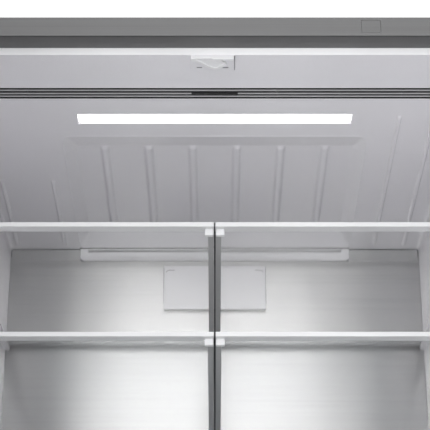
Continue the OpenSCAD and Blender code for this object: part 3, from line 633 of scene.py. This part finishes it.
def built(name, make, material, node, width=0.0, matrix=CASE, angle=SMOOTH_ANGLE, replaces=True, segments=2):
    """Makes a piece from a function that fills a bmesh; matrix puts it in place.

    width is the radius of its edges in millimetres. Unless replaces is False, the piece hides its CAD node.
    """
    bm = bmesh.new()
    make(bm)
    bmesh.ops.recalc_face_normals(bm, faces=bm.faces)
    if width:
        round_edges(bm, width * MM, segments)
    place(bm, matrix)
    return piece(name, bm, MATERIALS[material].material, node, replaces=(node,) if replaces else (),
                 angle=angle)


# ---------- simple parts: the CAD shape with soft edges ----------

EDGE_RADIUS = {                 # millimetres
    "top_fascia": 0.9, "fascia_hatch": 0.5, "toe_grille": 0.6, "hinge_covers": 1.2, "back_cover": 0.5,
    "filter_cover": 1.0, "upper_left_glass": 0.6, "upper_right_glass": 0.6, "lower_left_glass": 0.6,
    "lower_right_glass": 0.6, "crisper_glass": 0.6, "crisper_frame": 0.8, "shelf_arms": 0.7,
    "shelf_tracks": 0.3, "air_duct": 0.8, "left_door_skin": 0.3, "right_door_skin": 0.3,
    "left_door_liner": 1.6, "right_door_liner": 1.6, "mullion_flap": 0.8, "freezer_front": 0.35,
    "freezer_basket": 1.0, "freezer_slides": 0.4, "freezer_rails": 0.4, "freezer_liner": 1.0,
    "base_pan": 0.4, "door_hinges": 0.6, "crisper_left": 0.9, "crisper_right": 0.9,
    "pantry_drawer": 0.9, "humidity_slider": 0.6, "left_door_bins": 1.2, "right_door_bins": 1.2,
}

for node_name, radius in EDGE_RADIUS.items():
    rounded(node_name, radius * MM)

# ---------- shelf trims: white front and side rails, grey rear bars, caps over the arms' ends ----------

SHELF_Y = (100, 652)            # front and back of the shelves, millimetres
TRIM_TOP = 15.4                 # top of the trims over the shelves' underside, millimetres
RUN_X = Matrix(((0, 0, 1, 0), (1, 0, 0, 0), (0, 1, 0, 0), (0, 0, 0, 1)))    # outline in y and z, run along x


def shelf_z(node):
    """Underside of the shelf whose trim this is, in millimetres."""
    return (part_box(node)[1].z - TRIM_TOP * MM) / MM


def cut_off(bm, point, normal):
    """Removes what lies behind a plane and closes the cut."""
    bmesh.ops.bisect_plane(bm, geom=bm.verts[:] + bm.edges[:] + bm.faces[:], plane_co=point,
                           plane_no=normal, clear_inner=True)
    bmesh.ops.holes_fill(bm, edges=[e for e in bm.edges if len(e.link_faces) == 1], sides=0)


def shelf_trim(node):
    """The CAD trim without its cap and rear rail."""
    bm = cad_bmesh(node)
    cut_off(bm, (0, 0, (shelf_z(node) + 0.05) * MM), (0, 0, 1))
    cut_off(bm, (0, flange_y + (SHELF_Y[1] - 20.1) * MM, 0), (0, -1, 0))
    round_edges(bm, 0.8 * MM)
    return piece(node + "_shape", bm, look_of(node), node=node, replaces=(node,))


for node_name in ("upper_left_trim", "upper_right_trim", "lower_left_trim", "lower_right_trim"):
    shelf_trim(node_name)

SHELF_ROWS = [shelf_z(node_name) for node_name in ("upper_right_trim", "lower_right_trim")]


def rear_bars(bm):
    """Low bar over the rear edge of each glass."""
    back = SHELF_Y[1]
    for z in SHELF_ROWS:
        section = outline([(back - 14, z + 7.6), (back - 7.7, z + 7.6), (back - 7.7, z + 3.4),
                           (back - 6, z + 3.4), (back - 6, z + TRIM_TOP), (back - 14, z + TRIM_TOP)])
        for low, high in ((1.4, 384), (-384, -1.4)):
            bar = bmesh.new()
            add_prism(bar, section, low, high)
            place(bar, RUN_X)
            merge(bm, bar)


def shelf_caps(bm):
    """Blocks on the arms' front ends, each side of the middle gap."""
    for z in SHELF_ROWS:
        for low, high in ((1.8, 15), (-15, -1.8)):
            add_box(bm, (low, SHELF_Y[0] + 9.1, z - 10.3), (high, SHELF_Y[0] + 17, z + 0.3))


built("rear_bars", rear_bars, "bar_plastic", "upper_right_trim", 0.7, replaces=False)
built("shelf_caps", shelf_caps, "white_plastic", "upper_right_trim", 1.5, replaces=False, segments=3)

# ---------- ledges on the liner's walls under the shelves ----------

LEDGE_X = 377                   # inner edge of the ledges, millimetres
LEDGE_Y = (150, 640)


def shelf_ledges(bm):
    front, back = LEDGE_Y
    corners = ((LEDGE_X, front), (half_width(front * MM) / MM + 1, front),
               (half_width(back * MM) / MM + 1, back), (LEDGE_X, back))
    for z in SHELF_ROWS:
        for side in (-1, 1):
            flat = outline([(side * x, y) for x, y in corners])
            add_prism(bm, flat[::side], z - 6.5, z - 0.3)


built("shelf_ledges", shelf_ledges, "liner_plastic", "fridge_liner", 1.2, replaces=False)

# ---------- dark strips in the gap between the left and right shelves ----------

def shelf_bumpers(bm):
    front, back = SHELF_Y
    for z in SHELF_ROWS:
        add_box(bm, (-1.2, front + 1.5, z + 0.8), (0.6, back - 8, z + 6.6))
        arm = outline([(front + 16, z - 1), (back - 2, z - 1), (back - 2, z - 44), (back - 16, z - 44),
                       (back - 60, z - 24), (front + 60, z - 11.6), (front + 16, z - 8)])
        strip = bmesh.new()
        add_prism(strip, arm, 0.3, 1.6)
        place(strip, RUN_X)
        merge(bm, strip)


built("shelf_bumpers", shelf_bumpers, "dark_plastic", "shelf_arms", replaces=False)

# ---------- vent along the front of the ceiling ----------

VENT_MID = (VENT_Y[0] + VENT_Y[1]) / 2 / MM
VENT_HALF = (VENT_Y[1] - VENT_Y[0]) / 2 / MM
VENT_WALL = 1.6                 # millimetres
SLAT_Y = (102.7, 111.9, 120.2)  # middle of each slat, millimetres


def vent_housing(bm):
    """Open box with a row of upright ribs in it."""
    half, y0, y1 = VENT_X / MM, VENT_MID - VENT_HALF, VENT_MID + VENT_HALF
    inner, in0, in1 = half - VENT_WALL, y0 + VENT_WALL, y1 - VENT_WALL
    for low, high in (((-half, y0, 14), (half, y1, 16)), ((-half, y0, 0.2), (half, in0, 14)),
                      ((-half, in1, 0.2), (half, y1, 14)), ((-half, in0, 0.2), (-inner, in1, 14)),
                      ((inner, in0, 0.2), (half, in1, 14))):
        add_box(bm, low, high)
    for x in range(-300, 301, 100):
        add_box(bm, (x - 0.8, in0, 5), (x + 0.8, in1, 14))


def vent_slats(bm):
    half = VENT_X / MM - 1.2
    for y in SLAT_Y:
        profile = [(y - 1.9, 1.0), (y - 1.7, 0.6), (y - 1.0, 0.4), (y + 1.0, 0.4), (y + 1.7, 0.6),
                   (y + 1.9, 1.0), (y + 1.7, 1.5), (y - 1.7, 1.5)]
        left = [bm.verts.new(mm(-half, py, pz)) for py, pz in profile]
        right = [bm.verts.new(mm(half, py, pz)) for py, pz in profile]
        bm.faces.new(left)
        bm.faces.new(right[::-1])
        bridge(bm, left, right)


def vent_pad(bm):
    """Blank plate in the middle of the rear slat."""
    add_prism(bm, round_outline(74, 7.6, 1.2, cy=SLAT_Y[1]), -0.5, 1.5)


def vent_lip(bm):
    """Thin light rim that clips over the housing's edge."""
    half, y0, y1 = VENT_X / MM, VENT_MID - VENT_HALF, VENT_MID + VENT_HALF
    for low, high in (((-half - 1.2, y0 - 1.4, -0.5), (half + 1.2, y0 + 0.9, 0.15)),
                      ((-half - 1.2, y1 - 0.9, -0.5), (half + 1.2, y1 + 1.4, 0.15))):
        add_box(bm, low, high)


built("vent_housing", vent_housing, "vent_black", "vent_grille", matrix=CEILING)
built("vent_lip", vent_lip, "white_plastic", "vent_grille", 0.25, matrix=CEILING, replaces=False)
built("vent_slats", vent_slats, "slat_plastic", "vent_grille", matrix=CEILING, angle=50)
built("vent_pad", vent_pad, "black_plastic", "vent_grille", 0.3, matrix=CEILING)

# ---------- light bar ----------

LAMP_MID = (LAMP_Y[0] + LAMP_Y[1]) / 2 / MM


def lens(bm):
    """Opal cover with a crowned face and round corners."""
    w, h = LAMP_X / MM, (LAMP_Y[1] - LAMP_Y[0]) / 2 / MM
    rings = []
    for inset, z in ((0, 6.5), (0, 0.6), (0.6, -0.2), (2.0, -0.6), (6.0, -0.8)):
        outer = round_outline(2 * (w - inset), 2 * (h - inset), 9 - inset, 8, cy=LAMP_MID)
        rings.append([bm.verts.new((p.x, p.y, z * MM)) for p in outer])
    close_rings(bm, rings)


built("lens", lens, "lens_plastic", "light_lens", matrix=CEILING, angle=60)

# ---------- guide on the ceiling for the mullion flap ----------

GUIDE_WALL = [(-34.6, 4.9), (-29, 7.1), (-23.9, 10.2), (-19, 14.8), (-14.7, 19.3), (-10.5, 23.3),
              (-6.2, 26.1), (-2.5, 27.9), (1.2, 28.3), (5.2, 26.9), (9.2, 23.7), (13.5, 20.1), (18, 16.5)]


def bar_outline(points, width):
    """Outline of a bar that follows a list of points."""
    near, far = [], []
    for i, (x, y) in enumerate(points):
        ax, ay = points[max(i - 1, 0)]
        bx, by = points[min(i + 1, len(points) - 1)]
        length = math.hypot(bx - ax, by - ay)
        nx, ny = -(by - ay) / length * width / 2, (bx - ax) / length * width / 2
        near.append((x + nx, y + ny))
        far.append((x - nx, y - ny))
    return outline(near + far[::-1])


def guide_pad(bm):
    """Thin plate with two slots, made of the cells between grid lines."""
    xs = [-37.5, -28, -19, 12, 21.5, 30]
    ys = [0.6, 31.5, 35, 42]
    holes = {(1, 1), (3, 1)}
    cells = [(i, j) for i in range(len(xs) - 1) for j in range(len(ys) - 1) if (i, j) not in holes]
    low, high = [[[bm.verts.new(mm(x, y, z)) for y in ys] for x in xs] for z in (-1.5, 0)]
    for i, j in cells:
        corners = ((i, j), (i, j + 1), (i + 1, j + 1), (i + 1, j))
        beside = ((i - 1, j), (i, j + 1), (i + 1, j), (i, j - 1))
        for layer in (low, high):
            bm.faces.new([layer[a][b] for a, b in corners])
        for k in range(4):
            if beside[k] not in cells:
                (a, b), (c, d) = corners[k], corners[(k + 1) % 4]
                bm.faces.new((low[a][b], low[c][d], high[c][d], high[a][b]))


def guide_catch(bm):
    """Curved wall that turns the flap, with the two blocks at its front."""
    add_prism(bm, bar_outline(GUIDE_WALL, 5.2), -7, -1)
    add_prism(bm, outline([(-36.5, 0.9), (-27, 0.9), (-29, 6), (-34, 5), (-36.5, 5.4)]), -7, -1)
    add_prism(bm, outline([(-4, 2), (-2.6, 0.9), (29, 0.9), (29, 5), (28, 6), (-2.6, 6), (-4, 4.8)]), -7, -1)


def guide_scoop(bm):
    """Dished floor between the walls."""
    rim = [(-27.5, 1.6), (-15, 1.6), (-3.6, 1.6), (-3.4, 5), (3, 5.6), (9, 5.6), (14.5, 12), (16.6, 15.6),
           (9.2, 21.6), (4.6, 24.2), (-2, 25.2), (-10, 21.2), (-20, 11.4), (-28.6, 5.6)]
    cx, cy = -5, 12
    rings = []
    for scale, z in ((1.0, -1.2), (1.0, -6.0), (0.8, -5.6), (0.5, -5.2), (0.25, -5.0)):
        rings.append([bm.verts.new(mm(cx + (x - cx) * scale, cy + (y - cy) * scale, z)) for x, y in rim])
    close_rings(bm, rings)


def guide_recess_shade(bm):
    """Painted shade: grey bottoms of the pad's two slots, and a grey strip for the shade in the joint at its
    right end.
    """
    for low, high in (((-27.7, 31.8, -1.1), (-19.3, 34.7, -0.1)), ((12.3, 31.8, -1.1), (21.2, 34.7, -0.1)),
                      ((30.0, 1.5, -1.2), (31.3, 41, -0.1))):
        add_box(bm, low, high)


built("guide_recess_shade", guide_recess_shade, "grey_plastic", "mullion_guide", 0.2, matrix=CEILING, replaces=False)
built("guide_pad", guide_pad, "liner_plastic", "mullion_guide", 0.25, matrix=CEILING)
built("guide_catch", guide_catch, "white_plastic", "mullion_guide", 0.9, matrix=CEILING, segments=3)
built("guide_scoop", guide_scoop, "white_plastic", "mullion_guide", matrix=CEILING, angle=60)

# ---------- underside of the fascia: painted shade ---

fascia_low, fascia_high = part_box("top_fascia")
FASCIA_HALF = fascia_high.x / MM - 1.5
FASCIA_FRONT = (fascia_low.y - flange_y) / MM
FASCIA_Z = fascia_low.z / MM


def fascia_underside_shade(bm):
    """Painted shade: a darker plate under the fascia, set back from its front edge."""
    add_box(bm, (-FASCIA_HALF, FASCIA_FRONT + 3.4, FASCIA_Z - 0.25), (FASCIA_HALF, -0.6, FASCIA_Z + 0.2))


def fascia_shadow_line(bm):
    """Painted shadow line: a dark strip between that plate and the fascia's front edge."""
    add_box(bm, (-FASCIA_HALF, FASCIA_FRONT + 1.2, FASCIA_Z - 0.1),
            (FASCIA_HALF, FASCIA_FRONT + 3.6, FASCIA_Z + 0.2))


# painted shade under the fascia, and a painted shadow line along its front edge
built("fascia_underside_shade", fascia_underside_shade, "fascia_painted_shade", "top_fascia", replaces=False)
built("fascia_shadow_line", fascia_shadow_line, "dark_plastic", "top_fascia", replaces=False)

# ---------- marks on the filter cover, and dark strips of painted shade round it and along the back wall's top joint ---

WALL_Y = INNER_D / MM           # face of the back wall behind the flange, millimetres
OUTLET_HALF = 256               # half width of the strip over the air outlet, millimetres
filter_low, filter_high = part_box("filter_cover")


def unlock_marks(bm):
    """A thin stroke in each top corner, bent down at its outer end, which shows where to press."""
    front, top = filter_low.y - 0.05 * MM, filter_high.z - 8.5 * MM
    for side in (-1, 1):
        path = [(76, 0), (80, 0), (84, 0), (87, 0.3), (89.2, 1.2), (90.6, 2.6), (91, 4.4)]
        add_tube(bm, [(side * x * MM, front, top - drop * MM) for x, drop in path], 0.55 * MM, 8)


def filter_edge_shade(bm):
    """Painted shade: a dark strip round the cover's sides and top, on the back wall, for the shadow in the
    gap behind its edges.
    """
    half, low, high = filter_high.x / MM, filter_low.z / MM, filter_high.z / MM
    y0, y1 = WALL_Y - 2.4, WALL_Y + 0.2
    for x in (-half - 1.3, half - 2.2):
        add_box(bm, (x, y0, low + 14), (x + 3.5, y1, high + 1))
    add_box(bm, (-half - 1.3, y0, high - 2.5), (half + 1.3, y1, high + 1))


def wall_seal_and_shade(bm):
    """Dark strip in the joint between the back wall and the ceiling, turned down at the sides: a seal, and
    painted shade for the gap along the joint.
    """
    y0, y1 = WALL_Y - 1.2, WALL_Y + 0.2
    top, half = ceiling_at(INNER_D) / MM, BACK_W / 2 / MM
    for side in (-1, 1):
        inner, outer = sorted((side * OUTLET_HALF, side * (half - 0.6)))
        add_box(bm, (inner, y0, top - 2.4), (outer, y1, top - 0.5))
        low, high = sorted((side * (half - 2.4), side * (half - 0.6)))
        add_box(bm, (low, y0, top - 16), (high, y1, top - 2.3))
    # painted shade: a dark strip for the shadow in the slot over the air outlet
    over = ceiling_at(INNER_D - 4 * MM) / MM
    add_box(bm, (-OUTLET_HALF, WALL_Y - 5.4, over - 1.5), (OUTLET_HALF, WALL_Y - 2.8, over + 0.3))


built("unlock_marks", unlock_marks, "dark_plastic", "filter_cover", matrix=Matrix.Identity(4), replaces=False)
# painted shade round the filter cover, and a seal with painted shade along the back wall's top joint
built("filter_edge_shade", filter_edge_shade, "dark_plastic", "rear_panel", 0.4, replaces=False)
built("wall_seal_and_shade", wall_seal_and_shade, "dark_plastic", "rear_panel", 0.3, replaces=False)

# ---------- doors and freezer front: gaskets, handles and bin lips ----------

DOOR_INNER = -12.0              # y of the doors' two faces when closed, millimetres
DOOR_OUTER = -82.0
BAR_Y = DOOR_OUTER - 47         # axis of the handles
GASKET_W = 16
HANDLE_BAR = [(0, 0), (6, 0.2), (10, 1.4), (11.6, 3.6), (12, 6),
              (12, 754), (11.6, 756.4), (10, 758.6), (6, 759.8), (0, 760)]
HANDLE_POST = [(0, 0), (8.2, 0), (8.2, 30), (8.6, 33), (9.6, 36), (10.4, 39), (10.4, 47), (0, 47)]


def gasket_profile(width):
    """Bellows: base, narrow waist and soft magnetic strip."""
    return [(0.5, DOOR_INNER), (0.5, -9.5), (3.0, -8.0), (2.2, -5.5), (0.4, -4.0), (0.2, -1.4), (1.4, -0.4),
            (width / 2, -0.3), (width - 1.4, -0.4), (width - 0.2, -1.4), (width - 0.4, -4.0),
            (width - 2.2, -5.5), (width - 3.0, -8.0), (width - 0.5, -9.5), (width - 0.5, DOOR_INNER)]


def door_gasket(bm):
    add_frame(bm, 6, 440, 716, 1712.5, gasket_profile(GASKET_W))


def door_handle(bm):
    """Round bar with crowned ends on two stepped posts."""
    x = 42
    add_lathe(bm, HANDLE_BAR, 48, move(*mm(x, BAR_Y, 800)))
    for z in (850, 1510):
        add_lathe(bm, HANDLE_POST, 36, frame_matrix(move(*mm(x, BAR_Y, z)), turn(-90, "X")))


def bin_lips(bm):
    """Rounded rail along the top of each bin's front and sides."""
    x0, x1, y0, y1, r = 60.2, 365.8, 30.0, 69.8, 9.0
    bends = [math.radians(a) for a in range(15, 90, 15)]
    path = [(x0, y0), (x0, y1 - r)]
    path += [(x0 + r - r * math.cos(a), y1 - r + r * math.sin(a)) for a in bends]
    path += [(x0 + r, y1), (x1 - r, y1)]
    path += [(x1 - r + r * math.sin(a), y1 - r + r * math.cos(a)) for a in bends]
    path += [(x1, y1 - r), (x1, y0)]
    for bottom in (800, 1090, 1380):
        top = bottom + 118 - 3.2
        add_tube(bm, [mm(x, y, top) for x, y in path], 2.2 * MM, 12)


for side, matrix in DOORS:
    built(side + "_gasket", door_gasket, "gasket_rubber", side + "_door_gasket", matrix=matrix, angle=50)
    built(side + "_handle", door_handle, "handle_steel", side + "_door_handle", matrix=matrix, angle=40)
    built(side + "_bin_lips", bin_lips, "white_plastic", side + "_door_bins", matrix=matrix, angle=60,
          replaces=False)


def freezer_gasket(bm):
    add_frame(bm, -442, 442, 83, 699, gasket_profile(GASKET_W))


def freezer_handle(bm):
    """The same bar and posts, lying along x."""
    z = 640
    add_lathe(bm, HANDLE_BAR, 48, frame_matrix(move(*mm(-380, BAR_Y, z)), turn(90, "Y")))
    for x in (-320, 320):
        add_lathe(bm, HANDLE_POST, 36, frame_matrix(move(*mm(x, BAR_Y, z)), turn(-90, "X")))


built("freezer_seal", freezer_gasket, "gasket_rubber", "freezer_gasket", angle=50)
built("freezer_bar", freezer_handle, "bar_steel", "freezer_handle", angle=40)

# ---------- feet, rollers and machinery ----------

SUPPORT_X = (-400, 400)         # feet and rollers, millimetres


def feet(bm):
    """Round pad, hexagon nut and threaded stem."""
    pad = [(0, 0), (19, 0), (20.6, 0.8), (21, 2.2), (20.6, 3.6), (18, 4.8), (14, 6), (0, 6)]
    nut = [(0, 6), (11.6, 6), (12.8, 6.8), (12.8, 13.2), (11.6, 14), (0, 14)]
    stem = [(0, 14)]
    for k in range(24):
        stem += [(5.2, 14 + 2 * k), (6.0, 15 + 2 * k)]
    stem += [(5.0, 62), (0, 63)]
    for x in SUPPORT_X:
        for profile, steps in ((pad, 48), (nut, 6), (stem, 24)):
            add_lathe(bm, profile, steps, move(*mm(x, 60, 0)))


def wheels(bm):
    """Rollers with a bore, dished sides and a groove in the tread."""
    half = [(4.05, -11), (8, -11), (9, -10), (9.4, -7.4), (15.6, -7.4), (16.6, -9.4), (19.5, -10),
            (21.2, -9.4), (22, -7.6), (22, -2.2), (21.3, -1.4)]
    profile = half + [(r, -z) for r, z in half[::-1]] + half[:1]
    for x in SUPPORT_X:
        add_lathe(bm, profile, 48, frame_matrix(move(*mm(x, 690, 22)), turn(90, "Y")))


built("feet", feet, "black_plastic", "levelling_feet", angle=40)
built("wheels", wheels, "wheel_rubber", "rear_rollers", angle=40)


def can(bm):
    """Compressor: welded two-part can on four rubber feet."""
    spot = move(*mm(-220, 610, 50))
    profile = [(0, 22), (70, 22), (76, 24), (78, 28), (78, 60), (79.5, 62), (79.5, 66), (78, 68), (78, 118)]
    for a in (math.radians(step) for step in range(0, 90, 9)):
        profile.append((78 * math.cos(a), 122 + 78 * math.sin(a) * 0.769))
    add_lathe(bm, profile + [(0, 182)], 64, spot)
    foot = [(0, 0), (8, 0), (10, 2), (8.6, 5), (10, 8), (8.6, 11), (10, 14), (9, 18), (15, 18.4), (16, 20),
            (15, 23), (0, 23)]
    for sx in (-1, 1):
        for sy in (-1, 1):
            add_lathe(bm, foot, 24, frame_matrix(spot, move(*mm(sx * 70, sy * 70, 0))))


def can_cover(bm):
    """Cover over the compressor's terminals."""
    add_prism(bm, round_outline(26, 62, 6, cx=-138, cy=610), 90, 150)


def pipes(bm):
    """Suction, discharge and service pipes with soft bends."""
    def bend(points, radius):
        """Path through points in millimetres, its corners rounded."""
        path = []
        for i, p in enumerate(points):
            p = Vector(mm(*p))
            if i in (0, len(points) - 1):
                path.append(p)
                continue
            before, after = Vector(mm(*points[i - 1])), Vector(mm(*points[i + 1]))
            start, end = p + (before - p).normalized() * radius, p + (after - p).normalized() * radius
            for k in range(9):
                t = k / 8
                path.append(start * (1 - t) ** 2 + p * 2 * t * (1 - t) + end * t * t)
        return path
    suction = [(-292, 600, 120), (-325, 600, 120), (-325, 600, 300), (-325, 530, 300), (-250, 530, 300)]
    discharge = [(-220, 682, 130), (-220, 705, 130), (-220, 705, 80), (-60, 705, 80), (40, 690, 84)]
    service = [(-276, 660, 110), (-300, 690, 110), (-300, 690, 220)]
    for points, corner, radius in ((suction, 18, 4), (discharge, 16, 3), (service, 12, 3)):
        add_tube(bm, bend(points, corner * MM), radius * MM)


built("compressor_can", can, "black_enamel", "compressor", angle=40)
built("compressor_cover", can_cover, "dark_plastic", "compressor", 2.5, replaces=False, segments=3)
built("pipes", pipes, "copper", "compressor", angle=60, replaces=False)


def rotor(radius, hub, depth, blades, sweep, pitch):
    """Axial fan rotor from z = 0 up: domed hub with a bore, and curved, twisted blades."""
    def make(bm):
        bore = 3.1 if radius > 60 else 2.6
        add_lathe(bm, [(bore, 0.4), (hub - 1.2, 0.4), (hub, 1.6), (hub, depth - 3), (hub - 1.4, depth - 1.2),
                       (hub - 5, depth - 0.2), (bore, depth - 0.2), (bore, 0.4)], 48)
        middle = hub + (radius - hub) * 0.45
        for b in range(blades):
            faces = []
            start = 2 * math.pi * b / blades
            for side in (-1, 1):
                grid = []
                for i in range(9):
                    r = hub - 0.6 + (radius - hub + 0.2) * i / 8
                    twist = math.radians(pitch) * (1.25 - 0.5 * i / 8)
                    share = 0.5 + 0.28 * math.sin(math.pi * min(1, i / 7))
                    chord = share * 2 * math.pi * middle / blades
                    row = []
                    for k in range(9):
                        u = k / 8 - 0.5
                        camber = 0.09 * chord * (1 - 4 * u * u)
                        thick = 0.8 * (1 - 3.2 * u * u)
                        along = u * chord * math.cos(twist)
                        up = u * chord * math.sin(twist) + camber
                        up = max(-depth / 2 + 1, min(depth / 2 - 1, up + side * thick))
                        a = start + sweep * (i / 8) ** 1.5 + along / r
                        row.append(bm.verts.new(mm(r * math.cos(a), r * math.sin(a), depth / 2 + up)))
                    grid.append(row)
                faces.append(grid)
            low, high = faces
            for grid in faces:
                for i in range(8):
                    for k in range(8):
                        bm.faces.new((grid[i][k], grid[i][k + 1], grid[i + 1][k + 1], grid[i + 1][k]))
            for i in range(8):
                for k in (0, 8):
                    bm.faces.new((low[i][k], low[i + 1][k], high[i + 1][k], high[i][k]))
            for k in range(8):
                for i in (0, 8):
                    bm.faces.new((low[i][k], low[i][k + 1], high[i][k + 1], high[i][k]))
    return make


duct_low, duct_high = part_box("duct_fan")
duct_z = (duct_low.z + duct_high.z) / 2
fan_low, fan_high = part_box("condenser_fan")
fan_y, fan_z = (fan_low.y + fan_high.y) / 2, (fan_low.z + fan_high.z) / 2
built("duct_rotor", rotor(45.5, 13, 11.8, 7, 0.35, 24), "black_plastic", "duct_fan", angle=50,
      matrix=frame_matrix(move(0, duct_low.y + 0.1 * MM, duct_z), turn(-90, "X")))
built("condenser_rotor", rotor(71.5, 22, 17.8, 5, 0.4, 26), "black_plastic", "condenser_fan", angle=50,
      matrix=frame_matrix(move(fan_low.x + 0.1 * MM, fan_y, fan_z), turn(90, "Y")))

# ---------- camera, light and floor ----------

CAMERA_LENS = 129.3             # millimetres, on a 36 mm sensor
CAMERA_X = 0.5 * MM
CAMERA_BACK = 2.051             # in front of the flange
CAMERA_DOWN = 1.197             # below the ceiling's front edge
CAMERA_TILT = 24.35             # degrees, looking up
WORLD_STRENGTH = 1.16

camera = bpy.data.cameras.new("camera")
camera.sensor_width = 36
camera.lens = CAMERA_LENS
camera_object = bpy.data.objects.new("camera", camera)
bpy.context.scene.collection.objects.link(camera_object)
bpy.context.scene.camera = camera_object
camera_object.location = (CAMERA_X, flange_y - CAMERA_BACK, ceiling_z - CAMERA_DOWN)
camera_object.rotation_euler = (math.radians(90 + CAMERA_TILT), 0, 0)

bpy.context.scene.view_settings.view_transform = "Standard"
world = bpy.data.worlds.new("studio")
bpy.context.scene.world = world
world.use_nodes = True
sky = world.node_tree.nodes["Background"]
sky.inputs["Color"].default_value = (1.0, 1.0, 1.0, 1)
sky.inputs["Strength"].default_value = WORLD_STRENGTH


def softbox(name, spot, target, size, power):
    """Rectangular light at spot, turned to target; size in metres, power in watts."""
    light = bpy.data.lights.new(name, "AREA")
    light.shape = "RECTANGLE"
    light.size, light.size_y = size
    light.energy = power
    obj = bpy.data.objects.new(name, light)
    bpy.context.scene.collection.objects.link(obj)
    obj.location = spot
    obj.rotation_euler = (Vector(target) - Vector(spot)).to_track_quat("-Z", "Y").to_euler()
    return obj


softbox("key", (-0.62, -2.3, 0.45), (0.1, 0.2, 1.6), (2.3, 1.2), 36)
softbox("front", (0.5, -3.0, 2.1), (0.3, 0.4, 1.2), (2.2, 1.2), 3.6)

# the light bar's own light, just under its lens
lamp_y, lamp_z = flange_y + LAMP_MID * MM, ceiling_at(LAMP_MID * MM) - 3 * MM
lamp = softbox("lamp", (0, lamp_y, lamp_z), (0, lamp_y - math.sin(SLOPE), lamp_z - 1),
               (2 * LAMP_X - 14 * MM, 20 * MM), 1.2)
lamp.visible_camera = False

FLOOR_HALF = 8
floor_mesh = bpy.data.meshes.new("floor")
floor_mesh.from_pydata([(x * FLOOR_HALF, y * FLOOR_HALF, 0) for x, y in ((-1, -1), (1, -1), (1, 1), (-1, 1))],
                       [], [(0, 1, 2, 3)])
floor_object = bpy.data.objects.new("floor", floor_mesh)
bpy.context.scene.collection.objects.link(floor_object)
floor_look = Surface("floor_look", (0.8, 0.8, 0.79), 0.6)
floor_look.colour(floor_look.noise((3, 3, 3), 4), (0.78, 0.78, 0.77), (0.82, 0.82, 0.81))
floor_mesh.materials.append(floor_look.material)
